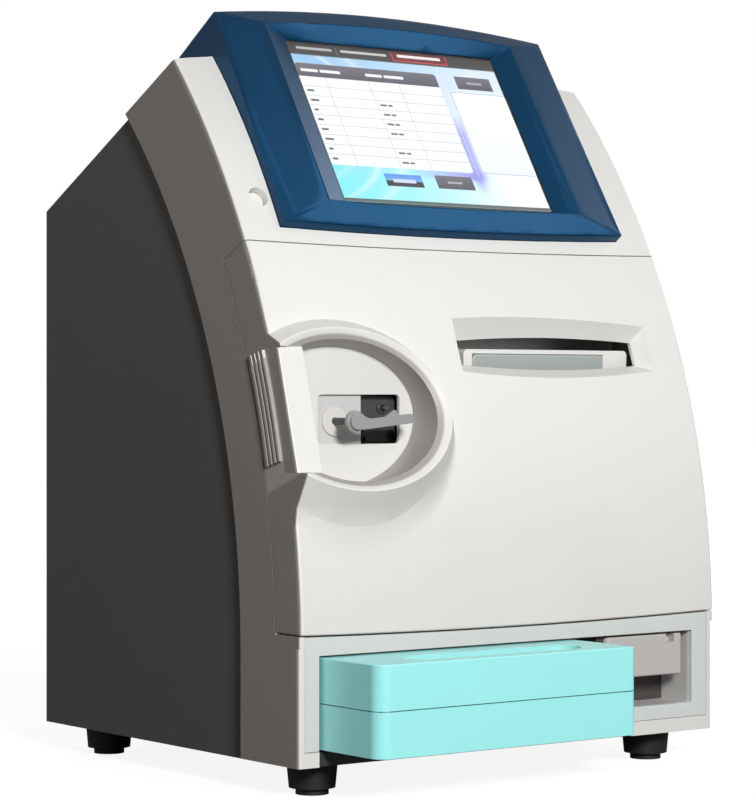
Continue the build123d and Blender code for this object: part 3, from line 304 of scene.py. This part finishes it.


# Painted shade: the warm grey that the white flanks get in place of their shade.
flank_shade_grey = linear(143, 138, 134)
white_colour = (0.80, 0.80, 0.775)
white = moulded("white_cover", white_colour, 0.42, drift=0.015)
shaded_flank_white = moulded("white_cover_painted_flank_shade", white_colour, 0.42, drift=0.015, sides=flank_shade_grey)
cool = moulded("cool_white", linear(218, 224, 222), 0.42, drift=0.015)
dress(shaded_flank_white, "front_frame")
dress(cool, "fascia_panel")


# Rear housing: dark grey shell over the works, textured, with a flat steel panel that carries the vents,
# the inlet and the fan, held by four screws.
brush_depth = 0.00002
mottle_scale = 90.0


def metal(name, colour, roughness, brush=(1.0, 1.0, 1.0), brush_size=0.0006, mottle=0.06):
    """Metal: noise stretched by brush gives the grain's gloss and bump, cells mottle the colour."""
    finish = bpy.data.materials.new(name)
    finish.use_nodes = True
    t = finish.node_tree
    skin = t.nodes["Principled BSDF"]
    skin.inputs["Metallic"].default_value = 1.0
    where = shader_node(t, "TexCoord").outputs["Object"]
    turn = shader_node(t, "Mapping", {"Vector": where, "Scale": brush}).outputs["Vector"]
    brushed = shader_node(t, "TexNoise", {"Vector": turn, "Scale": 1.0 / brush_size, "Detail": 3.0})
    fine = brushed.outputs["Fac"]
    rub = shader_node(t, "MapRange", {"Value": fine, "To Min": roughness - 0.08, "To Max": roughness + 0.12})
    t.links.new(rub.outputs["Result"], skin.inputs["Roughness"])
    cells = shader_node(t, "TexVoronoi", {"Vector": where, "Scale": mottle_scale})
    tone = shades(t, cells.outputs["Color"], colour, 1 - mottle, 1 + mottle)
    t.links.new(tone, skin.inputs["Base Color"])
    bump = shader_node(t, "Bump", {"Strength": 0.2, "Distance": brush_depth, "Height": fine})
    t.links.new(bump.outputs["Normal"], skin.inputs["Normal"])
    return finish


housing_grey = moulded("dark_housing", linear(81, 80, 76), 0.55, grain=0.8, grain_size=0.0011, drift=0.05)
steel = metal("steel", (0.62, 0.62, 0.61), 0.25, brush=(0.05, 1.0, 1.0))
zinc = metal("sheet_steel", (0.60, 0.61, 0.62), 0.38)
dress(housing_grey, "rear_housing")
dress(zinc, "rear_panel", evened=False)
dress(steel, "case_screws")


# Steelwork inside: zinc plated deck and chassis plate, the folded brackets of the head and of the sampling
# unit, the hinge brackets of the door and the vented box of the power supply.
dress(zinc, "deck_plate", "chassis_plate", "display_bracket", "head_bracket", "sampling_bracket",
      "hinge_bracket_left", "hinge_bracket_right", "power_supply")


# Works on the deck: control board, measuring block, pump with its roller wheel, pack coupler, fan and inlet,
# in plain engineering plastics.
track_scale = 110.0


def etched(name, mask_colour, track_colour):
    """Circuit board: a brick pattern of tracks in a lighter green under the solder mask."""
    finish = moulded(name, mask_colour, 0.35, grain=0.1)
    t = finish.node_tree
    where = shader_node(t, "TexCoord").outputs["Object"]
    stand = shader_node(t, "Mapping", {"Vector": where, "Rotation": (0.0, math.pi / 2, 0.0)})
    tracks = shader_node(t, "TexBrick", {
        "Vector": stand.outputs["Vector"], "Scale": track_scale, "Mortar Size": 0.04,
        "Color1": (*mask_colour, 1.0), "Color2": (*[c * 0.8 for c in mask_colour], 1.0),
        "Mortar": (*track_colour, 1.0),
    })
    t.links.new(tracks.outputs["Color"], t.nodes["Principled BSDF"].inputs["Base Color"])
    return finish


board_green = etched("circuit_board", (0.02, 0.14, 0.05), (0.10, 0.32, 0.12))
works_grey = moulded("works_plastic", linear(150, 154, 153), 0.4)
works_pale = moulded("pale_plastic", linear(222, 219, 210), 0.45)
works_dark = moulded("dark_plastic", linear(66, 68, 68), 0.42)
dress(board_green, "main_board")
dress(works_grey, "measuring_block", "pump_body", "pack_coupler")
dress(works_pale, "pump_rotor")
dress(works_dark, "fan_frame", "fan_rotor", "power_inlet", "button_switch", "door_catch")


# Pack bay: pale liner with floor, wall and back, two dark rails that the pack runs on, the dark guide of the
# latch and the grey latch block with its thumb notch.
liner_grey = moulded("liner_plastic", linear(205, 204, 202), 0.5)
latch_grey = moulded("latch_plastic", linear(196, 193, 190), 0.5)
guide_dark = moulded("guide_plastic", linear(70, 66, 64), 0.5)
dress(liner_grey, "bay_liner")
dress(latch_grey, "pack_latch")
dress(guide_dark, "latch_guide", "pack_guide_left", "pack_guide_right")


# Sampling unit: white plate with a window, a pale carrier with a bearing disc behind its left half, a dark
# port block behind its right half, and the steel probe and burnished shaft.
plate_white = moulded("plate_plastic", linear(229, 229, 226), 0.45, drift=0.015)
carrier_grey = moulded("carrier_plastic", linear(206, 207, 207), 0.4)
disc_cream = moulded("disc_plastic", linear(220, 219, 213), 0.45)
port_dark = moulded("port_plastic", linear(72, 74, 73), 0.35, drift=0.08)
burnished = metal("burnished_steel", (0.09, 0.105, 0.12), 0.34, brush=(1.0, 0.05, 1.0))
dress(plate_white, "sampling_plate")
dress(carrier_grey, "sampling_carrier")
dress(disc_cream, "bearing_cap")
dress(port_dark, "port_block", "port_ring")
dress(steel, "sample_probe", edge=0.0002)
dress(burnished, "lever_shaft", edge=0.0002)

# Port well: a black rounded lining let into the lower half of the port block.
machine_shift = (0.0, -124.4, 20.0)
well_x, well_z = -71.8, 192.7
well_front, well_back = 45.85, 46.3
well_half_width, well_half_height, well_radius = 11.2, 3.5, 1.6
quarter = math.pi / 2


def machine(points):
    """Points drawn in millimetres on the machine, in metres from the middle of its box and the bench."""
    return (np.asarray(points, float) + np.array(machine_shift)) / 1000.0


def corner_arcs(corners, count):
    """A closed outline of quarter arcs, counterclockwise: each corner is x, y, radius and starting angle."""
    sweep_angle = np.linspace(0, quarter, count)
    return np.vstack([
        np.column_stack([x + r * np.cos(turn + sweep_angle), y + r * np.sin(turn + sweep_angle)])
        for x, y, r, turn in corners
    ])


def plate(outline, front, back, x, z):
    """A flat plate: the outline, counterclockwise seen from the front, at front and at back, with its rim."""
    outline = np.asarray(outline, float)
    count = len(outline)
    layers = [
        np.column_stack([x + outline[:, 0], np.full(count, y), z + outline[:, 1]]) for y in (front, back)
    ]
    spot = np.arange(count)
    rim = np.stack([spot, spot + count, (spot + 1) % count + count, (spot + 1) % count], axis=-1)
    return np.vstack(layers), [spot.tolist(), (spot[::-1] + count).tolist()] + rim.tolist()


well_right, well_top = well_half_width - well_radius, well_half_height - well_radius
well_outline = corner_arcs([
    (well_right, well_top, well_radius, 0.0), (-well_right, well_top, well_radius, quarter),
    (-well_right, -well_top, well_radius, 2 * quarter), (well_right, -well_top, well_radius, 3 * quarter),
], 6)
well_black = moulded("well_plastic", linear(24, 25, 26), 0.3, drift=0.1)
well_points, well_faces = plate(well_outline, well_front, well_back, well_x, well_z)
well = mesh_piece("port_well", machine(well_points), well_faces, well_black, smooth=False)
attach(well, "cabinet")


# Sampling lever: grey moulded lever pressed on the shaft. A stepped hub, and an arm that sweeps in from the
# hub and rises a little to its rounded end, with a small web behind it. It stands for the plain lever solid.
lever_x, lever_z = -110.5, 202.0
hub_radius, hub_front, hub_back = 6.5, 17.9, 20.5
neck_radius, neck_front = 5.5, 17.3
cap_radius, cap_front = 4.9, 15.3
pole_radius = 0.4
lever_length, lever_end, lever_rise = 43.0, 2.9, 1.5
arm_front, arm_back = 15.9, 19.6
web_front = 17.9
lever_edge = 0.00045


def bezier(points, count):
    """Points on the Bezier curve of three or four controls: the sum of the controls by Bernstein weights."""
    share = np.linspace(0.0, 1.0, count)[:, None]
    points = np.asarray(points, float)
    order = len(points) - 1
    weights = [math.comb(order, k) * share ** k * (1 - share) ** (order - k) for k in range(order + 1)]
    return sum(weight * point for weight, point in zip(weights, points))


def quads(rows, ring, loop=False):
    """Corner numbers between rows of ring points, each row closed; loop joins the last row to the first."""
    row = np.arange(rows if loop else rows - 1)[:, None]
    spot = np.arange(ring)[None, :]
    here, there, after = row * ring, (row + 1) % rows * ring, (spot + 1) % ring
    return np.stack([here + spot, here + after, there + after, there + spot], axis=-1).reshape(-1, 4)


def capped(faces, rows, ring):
    """The faces of an open tube with a face over its first and its last row of points."""
    spot = np.arange(ring)
    return faces.tolist() + [spot[::-1].tolist(), (spot + (rows - 1) * ring).tolist()]


def turned(profile, x, z, count=64):
    """Surface of revolution about the Y line through x, z: radius and Y pairs swept round, ends closed."""
    profile = np.asarray(profile, float)
    angle = np.linspace(0.0, 2 * math.pi, count, endpoint=False)
    radius, along = profile[:, :1], profile[:, 1:]
    points = np.stack([
        x + radius * np.cos(angle), along + 0 * angle, z + radius * np.sin(angle)
    ], axis=-1).reshape(-1, 3)
    return points, capped(quads(len(profile), count), len(profile), count)


def joined(parts):
    """Several point and face sets as one, with the face numbers moved on."""
    points, faces, start = [], [], 0
    for spots, rows in parts:
        points.append(spots)
        faces += [[start + k for k in row] for row in rows]
        start += len(spots)
    return np.vstack(points), faces


half_turn = np.linspace(-quarter, quarter, 13)
tip = lever_length - lever_end
arm_outline = np.vstack([
    bezier([(0.5, -5.3), (14.0, -4.1), (tip, lever_rise - lever_end)], 9)[:-1],
    np.column_stack([tip + lever_end * np.cos(half_turn), lever_rise + lever_end * np.sin(half_turn)]),
    bezier([(tip, lever_rise + lever_end), (22.0, 2.6), (13.0, 1.75)], 7)[1:],
    bezier([(13.0, 1.75), (7.4, 1.2), (5.2, 3.4), (2.6, 5.3)], 10)[1:],
])
hub_profile = [
    (pole_radius, hub_back), (hub_radius, hub_back), (hub_radius, hub_front), (neck_radius, hub_front),
    (neck_radius, neck_front), (cap_radius, neck_front), (cap_radius, cap_front), (pole_radius, cap_front),
]
web_outline = [(21.5, 2.2), (31.5, 3.2), (30.6, 6.7), (28.8, 6.5)]
lever_grey = moulded("lever_plastic", linear(158, 162, 160), 0.34, drift=0.04)
lever_points, lever_faces = joined([
    turned(hub_profile, lever_x, lever_z),
    plate(arm_outline, arm_front, arm_back, lever_x, lever_z),
    plate(web_outline, web_front, arm_back, lever_x, lever_z),
])
lever = mesh_piece("lever_with_arm", machine(lever_points), lever_faces, lever_grey)
round_edges(lever, lever_edge, 3)
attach(lever, "lever")
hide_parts("sampling_lever")
dress(lever_grey, "sampling_lever", edge=0)


# Printer: white housing behind the slot of the door, a grey paper cover, the rubber platen and a roll of
# paper on fixed stubs.
cover_grey = moulded("cover_plastic", linear(166, 173, 172), 0.35)
paper_white = moulded("paper", (0.84, 0.84, 0.81), 0.8, grain=0.5, grain_size=0.0004)
platen_rubber = moulded("platen_rubber", (0.03, 0.03, 0.03), 0.7, grain=0.5)
dress(white, "printer_body")
dress(cover_grey, "printer_cover")
dress(platen_rubber, "platen_roller")
dress(paper_white, "paper_roll")


# Display head: two blue mouldings, the front one rising to a rim round the sunken screen, in a satin lacquer
# with a fine metal flake, and the white power button in the frame's left wing.
lacquer = moulded("blue_lacquer", linear(7, 64, 101), 0.3, grain=0.12, grain_size=0.0003, drift=0.05,
                  Metallic=0.6, Specular_IOR_Level=0.3)
dress(lacquer, "display_bezel", "display_back_cover", edge=0.0005, evened=False)
dress(white, "power_button")


# Screen: a dark display module under a flat touch glass.
module_black = moulded("module_plastic", linear(30, 32, 34), 0.4)
glass = moulded("screen_glass", (0.96, 0.98, 1.0), 0.05, grain=0.02, Transmission_Weight=1.0, IOR=1.45)
dress(module_black, "lcd_panel")
dress(glass, "touch_glass", edge=0)

# Picture on the module: a lit page with a dark bar, a table ruled in grey with short bars in its rows, and
# plain buttons. Each part is a flat tile a hair in front of the last.
head_tilt = math.radians(31.4)
screen_width, screen_length, screen_foot = 166.7, 122.8, 18.0
head_foot_y, head_foot_z = 55.0, 323.2
module_face = -2.0
page_lift, tile_step = 0.1, 0.02
top_bar = 8.4
table_top, head_row_foot, table_foot, table_right = 15.8, 26.4, 95.2, 113.2
row_top, row_pitch, row_count = 33.9, 7.55, 8
columns = (20.0, 54.4, 79.0)
rule_width = 0.35
empty_rows = (0, 5)
side_left, button_foot = 120.7, 109.3


def on_screen(right, down, lift):
    """Machine points right and down from the picture's top left corner, lift before the module's face."""
    rise = screen_foot + screen_length - down
    out = module_face + lift
    return np.stack([
        right - screen_width / 2,
        head_foot_y + rise * math.sin(head_tilt) - out * math.cos(head_tilt),
        head_foot_z + rise * math.cos(head_tilt) + out * math.sin(head_tilt),
    ], axis=-1)


def rounded(left, top, right, bottom, radius=0.0):
    """Outline of a rectangle, right and down, with its corners rounded: left, foot, right and top in turn."""
    if radius == 0:
        return np.array([(left, top), (left, bottom), (right, bottom), (right, top)], float)
    return corner_arcs([
        (left + radius, -top - radius, radius, quarter),
        (left + radius, radius - bottom, radius, 2 * quarter),
        (right - radius, radius - bottom, radius, 3 * quarter),
        (right - radius, -top - radius, radius, 0.0),
    ], 6) * (1, -1)


grey_bar, bar_foot = (116, 113, 124), (86, 84, 95)
ink, rule = (96, 100, 106), (186, 191, 197)
snow, frost = (255, 255, 255), (252, 254, 255)
tiles = [
    (rounded(0, 0, screen_width, top_bar), (50, 48, 47), (66, 63, 61)),
    (rounded(0, top_bar, screen_width, 9.1), (88, 108, 114), (120, 140, 146)),
    (rounded(82.4, 0, 128.0, 7.4), (214, 62, 62), (222, 74, 70)),
    (rounded(83.1, 0, 127.3, 6.6), (96, 20, 34), (116, 30, 44)),
    (rounded(37.4, 1.2, 37.9, 7.2), (120, 118, 116), (120, 118, 116)),
    (rounded(0, table_top, table_right, 28.0, 2.2), grey_bar, bar_foot),
    (rounded(0, head_row_foot, table_right, table_foot, 1.8), snow, frost),
    (rounded(0, head_row_foot, table_right, 30.0), snow, snow),
    (rounded(129.0, 15.9, 159.0, 26.3), grey_bar, bar_foot),
    (rounded(side_left, 29.3, screen_width + 0.1, 95.0, 2.4), (168, 190, 208), (176, 186, 226)),
    (rounded(side_left + 0.5, 29.8, screen_width + 0.1, 94.5, 2.2), snow, (246, 254, 255)),
    (rounded(38.2, 99.9, 67.6, 105.0), (88, 148, 232), (122, 178, 248)),
    (rounded(38.2, 105.0, 67.6, button_foot), (66, 62, 70), (46, 44, 52)),
    (rounded(79.0, 98.9, 109.3, button_foot - 0.1), grey_bar, bar_foot),
    (rounded(0, 120.3, screen_width, screen_length), (90, 99, 100), (104, 112, 112)),
    (rounded(116.1, 10.5, 116.7, 98.0, 0.28), (246, 250, 255), (236, 232, 255)),
]
base_count = len(tiles)
for index in range(row_count):
    line = row_top + index * row_pitch
    tiles.append((rounded(0, line, table_right, line + rule_width), rule, rule))
for x in columns:
    tiles.append((rounded(x, head_row_foot + 0.2, x + rule_width, table_foot - 0.2), rule, rule))
rule_count = len(tiles)

# The short bars: one at the left of each row and two in its middle column, then those of the page's head and
# buttons, each as left, right, top, bottom and colour.
for row in range(row_count):
    middle = row_top + (row + 0.5) * row_pitch
    length = 3.2 + 1.1 * ((row * 5 + 2) % 4)
    tiles.append((rounded(2.4, middle - 0.8, 2.4 + length, middle + 0.8, 0.3), ink, ink))
    if row not in empty_rows:
        tiles.append((rounded(57.0, middle - 0.7, 62.4, middle + 0.7, 0.3), ink, ink))
        tiles.append((rounded(63.4, middle - 0.7, 67.0, middle + 0.7, 0.3), ink, ink))
chalk = (250, 250, 252)
for left, right, top, bottom, shade in (
    (3.0, 16.5, 20.3, 22.6, chalk), (18.0, 34.0, 20.3, 22.6, chalk),
    (54.0, 67.5, 20.3, 22.6, chalk), (69.0, 85.0, 20.3, 22.6, chalk),
    (138.0, 150.5, 20.2, 21.9, (176, 175, 182)), (88.0, 100.0, 103.3, 104.9, (184, 183, 190)),
    (44.0, 62.0, 103.6, 106.4, (214, 228, 250)), (6.0, 34.0, 2.6, 4.6, (190, 188, 186)),
    (41.0, 78.0, 2.6, 4.6, (206, 204, 202)), (87.0, 123.0, 1.9, 4.2, (250, 240, 240)),
):
    tiles.append((rounded(left, top, right, bottom, 0.5), shade, shade))


def ramp(value, start, length):
    """0 up to start, then rising evenly to 1 over length, or falling to it where length is negative."""
    return np.clip((value - start) / length, 0, 1)


def wallpaper(right, down):
    """Page colour: sky blue turning to cyan downwards and white rightwards, a violet glow and pale arcs."""
    blue, water, violet = (np.array(c, float) for c in ((160, 208, 250), (136, 244, 252), (160, 158, 244)))
    tone = blue + (water - blue) * ramp(down, 55, 50)[..., None]
    pale = ramp(right, 0, 140) ** 1.3 * (0.62 + 0.38 * ramp(down, 0, 60))
    ring = np.hypot(right + 28, (down - 60) * 1.15)
    for radius, width, strength in ((76, 1.6, 0.55), (92, 3.5, 0.35), (58, 2.4, 0.3)):
        pale = pale + strength * np.exp(-((ring - radius) / width) ** 2)
    tone = tone + (255.0 - tone) * np.clip(pale, 0, 1)[..., None]
    upright = np.exp(-((right - 116.3) / 4.2) ** 2) * ramp(down, 48, 16) * ramp(down, 112, -14)
    level = np.exp(-((down - 97.5) / 3.5) ** 2) * ramp(right, 60, 45) * ramp(right, 126, -12)
    return tone + (violet - tone) * np.clip(0.9 * (upright + level), 0, 1)[..., None]


page_right, page_down = np.meshgrid(np.linspace(0, screen_width, 84), np.linspace(0, screen_length, 62))
page_rows, page_columns = page_right.shape
spot = (np.arange(page_rows - 1)[:, None] * page_columns + np.arange(page_columns - 1)[None, :]).ravel()
page_faces = np.stack([spot, spot + page_columns, spot + page_columns + 1, spot + 1], axis=-1).tolist()
picture_parts = [(on_screen(page_right, page_down, page_lift).reshape(-1, 3), page_faces)]
picture_colours = [wallpaper(page_right, page_down).reshape(-1, 3)]
for index, (outline, top_colour, foot_colour) in enumerate(tiles):
    lift = page_lift + tile_step * (1 + min(index, base_count) + (index >= rule_count))
    picture_parts.append((on_screen(outline[:, 0], outline[:, 1], lift), [list(range(len(outline)))]))
    top, bottom = outline[:, 1].min(), outline[:, 1].max()
    share = ((outline[:, 1] - top) / (bottom - top))[:, None]
    picture_colours.append((1 - share) * np.array(top_colour, float) + share * np.array(foot_colour, float))
picture_points, picture_faces = joined(picture_parts)
light = linear_light(np.vstack(picture_colours) / 255)

picture_light = bpy.data.materials.new("lit_page")
picture_light.use_nodes = True
page_tree = picture_light.node_tree
page_skin = page_tree.nodes["Principled BSDF"]
page_skin.inputs["Base Color"].default_value = (0.02, 0.02, 0.02, 1.0)
page_skin.inputs["Roughness"].default_value = 0.5
page_skin.inputs["Emission Strength"].default_value = 1.0
colour_of = shader_node(page_tree, "Attribute", attribute_name="page_colour")
page_tree.links.new(colour_of.outputs["Color"], page_skin.inputs["Emission Color"])
picture = mesh_piece("screen_picture", machine(picture_points), picture_faces, picture_light, smooth=False)
page_colour = picture.data.attributes.new("page_colour", "FLOAT_COLOR", "POINT")
corner_light = np.column_stack([light, np.ones(len(light))]).astype(np.float32)
page_colour.data.foreach_set("color", corner_light.ravel())
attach(picture, "cabinet")


# Door: one curved white moulding with painted shade in warm grey on its sideways-facing flanks, the raised
# collar of the sampling bay, the printer's slot and the grip ribs, closed at the left of the bay by a
# separate white strip. It folds down on two steel pins.
mouth_centre = (-0.120, -0.11865, 0.230)
mouth_lean = math.radians(20.2)
mouth_wide, mouth_high = 0.0633, 0.0455
wall_reach, wall_reach_end = 1.09, 1.12
wall_start, wall_full = 0.0012, 0.0022


def paint_bore_shade(finish, bore_shade_colour):
    """Painted shade: mixes the mouth's wall, inside its leaning ellipse and behind the rim's plane, to a
    darker grey as its shade.
    """
    t = finish.node_tree
    socket = t.nodes["Principled BSDF"].inputs["Base Color"]
    outside = socket.links[0].from_socket
    where = shader_node(t, "TexCoord").outputs["Object"]
    centred = shader_node(t, "VectorMath", {0: where, 1: mouth_centre}, operation="SUBTRACT")
    turned_up = shader_node(
        t, "Mapping", {"Vector": centred.outputs["Vector"], "Rotation": (mouth_lean, 0.0, 0.0)}
    )
    upright = turned_up.outputs["Vector"]
    depth = shader_node(t, "SeparateXYZ", {0: upright})
    across = shader_node(
        t, "VectorMath", {0: upright, 1: (1 / mouth_wide, 0.0, 1 / mouth_high)}, operation="MULTIPLY"
    )
    away = shader_node(t, "VectorMath", {0: across.outputs["Vector"]}, operation="LENGTH")
    inside = eased(t, away.outputs["Value"], wall_reach_end, wall_reach)
    behind = eased(t, depth.outputs["Y"], wall_start, wall_full)
    part = shader_node(t, "Math", {0: inside, 1: behind}, operation="MULTIPLY")
    mix = shader_node(t, "Mix", data_type="RGBA")
    t.links.new(part.outputs[0], mix.inputs["Factor"])
    t.links.new(outside, mix.inputs["A"])
    mix.inputs["B"].default_value = (*bore_shade_colour, 1.0)
    t.links.new(mix.outputs["Result"], socket)


door_paint = moulded("door_white", white_colour, 0.42, drift=0.015, sides=flank_shade_grey)
# Painted shade: the bore's wall behind the rim gets a darker warm grey in place of its shade.
paint_bore_shade(door_paint, linear(174, 169, 165))
dress(door_paint, "door_panel")
dress(shaded_flank_white, "grip_strip")
dress(steel, "hinge_pin_left", "hinge_pin_right", edge=0.0002)

# Sweep at the collar's foot: under the bay the moulding runs from the door's face into the collar in a soft
# hollow. It is a fillet worked out from the collar's three ellipses and the arc of the door's face. Each
# ellipse of the collar is its lean in degrees, the Y and Z of its centre, and its two half axes.
face_radius, arc_centre_y, arc_centre_z = 546.0, 543.6, 65.3
collar_x = -120.0
collar_rings = (
    (15.5, 20.0, 198.0, 89.0, 69.5),
    (16.8, 17.9, 203.2, 83.5, 63.5),
    (20.2, 5.75, 210.0, 72.3, 51.9),
)
sweep_from, sweep_to, sweep_rows, sweep_steps = -117, -9, 90, 10
sweep_reach, least_reach = 9.0, 0.3
cut_edge_x, cut_run = -163.5, 8.0
fade_from = 0.15
mean_wide, mean_high = 85.0, 66.0


def door_face(z):
    """Y of the door's face at height z, on its side arc."""
    return arc_centre_y - np.sqrt(face_radius ** 2 - (z - arc_centre_z) ** 2)


def collar_side(angle, share):
    """Point on the collar's outer side: straight between rings 0, 1 and 2 at the same ellipse angle."""
    rings = []
    for tilt, y, z, wide, high in collar_rings:
        lean = math.radians(tilt)
        rise = high * np.sin(angle)
        rings.append(np.stack([
            collar_x + wide * np.cos(angle), y + rise * math.sin(lean), z + rise * math.cos(lean)
        ], axis=-1))
    low = np.clip(share, 0, 1)[..., None]
    high = np.clip(share - 1, 0, 1)[..., None]
    return rings[0] * (1 - low) + rings[1] * (low - high) + rings[2] * high


angle = np.radians(np.linspace(sweep_from, sweep_to, sweep_rows))
near, far = np.zeros_like(angle), np.full_like(angle, 2.0)
for _ in range(30):
    middle = (near + far) / 2
    point = collar_side(angle, middle)
    behind = point[:, 1] > door_face(point[:, 2])
    near, far = np.where(behind, middle, near), np.where(behind, far, middle)
crease = collar_side(angle, near)
ends = np.clip((crease[:, 0] - cut_edge_x) / cut_run, 0, 1)
low_part = np.clip((-np.sin(angle) - fade_from) / (1 - fade_from), 0, 1)
reach = sweep_reach * (low_part * ends) ** 0.7 + least_reach
step = 0.02
slope = (collar_side(angle, near + step) - crease) / step
up_side = collar_side(angle, near + reach / np.linalg.norm(slope, axis=1))
outward = np.stack([np.cos(angle) / mean_wide, 0 * angle, np.sin(angle) / mean_high], axis=-1)
outward /= np.linalg.norm(outward, axis=1)[:, None]
on_face = crease + outward * reach[:, None]
on_face[:, 1] = door_face(on_face[:, 2])
lift_off = np.array((0.0, -0.05, 0.0)) + 0.03 * outward
weights = np.linspace(0, 1, sweep_steps)[None, :, None]
curve = (
    (1 - weights) ** 2 * up_side[:, None, :] + 2 * weights * (1 - weights) * crease[:, None, :]
    + weights ** 2 * on_face[:, None, :] + lift_off[:, None, :]
)
root = (crease + np.array((0.0, 0.5, 0.0)))[:, None, :]
section = np.concatenate([curve, root], axis=1)
count, ring = section.shape[:2]
sweep_faces = capped(quads(count, ring), count, ring)
sweep = mesh_piece("collar_sweep", machine(section.reshape(-1, 3)), sweep_faces, white)
sweep.data.set_sharp_from_angle(angle=math.radians(50))
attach(sweep, "door")


# Reagent pack: two cyan mouldings welded round their middle, with a finger groove in the top and three ports
# in the back. The plastic is glossy and even, and throws none of its colour on the white fascia.
cyan = moulded("cyan_pack", (0.39, 0.96, 0.96), 0.3, grain=0.15, drift=0.02)
dress(cyan, "pack_lower", "pack_upper", edge=0.0008)
nodes["pack_lower"].visible_diffuse = False
nodes["pack_upper"].visible_diffuse = False

# Seam of the pack: a thin dark sealing strip round its plan, between the two halves.
pack_left, pack_right, pack_front, pack_back, seam_z = -148.0, 48.0, -56.0, 134.0, 37.0
corner_wide, corner_small = 9.0, 3.5
strip_out, strip_in, strip_half = 0.02, -0.6, 0.28
plan_corners = (
    (pack_left + corner_wide, pack_front + corner_wide, corner_wide, 2 * quarter),
    (pack_right - corner_small, pack_front + corner_small, corner_small, 3 * quarter),
    (pack_right - corner_small, pack_back - corner_small, corner_small, 0.0),
    (pack_left + corner_small, pack_back - corner_small, corner_small, quarter),
)
strip_profile = (
    (strip_out, -strip_half), (strip_out, strip_half), (strip_in, strip_half), (strip_in, -strip_half)
)
strip_rows = []
for out, high in strip_profile:
    plan = corner_arcs([(x, y, radius + out, turn) for x, y, radius, turn in plan_corners], 10)
    strip_rows.append(np.column_stack([plan, np.full(len(plan), seam_z + high)]))
strip_points = np.stack(strip_rows, axis=1)
strip_faces = quads(*strip_points.shape[:2], loop=True)[:, ::-1]
seal_dark = moulded("seal_strip", linear(28, 78, 80), 0.6, drift=0.1)
seal = mesh_piece("pack_seal", machine(strip_points.reshape(-1, 3)), strip_faces, seal_dark, smooth=False)
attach(seal, "pack")

low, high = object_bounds()
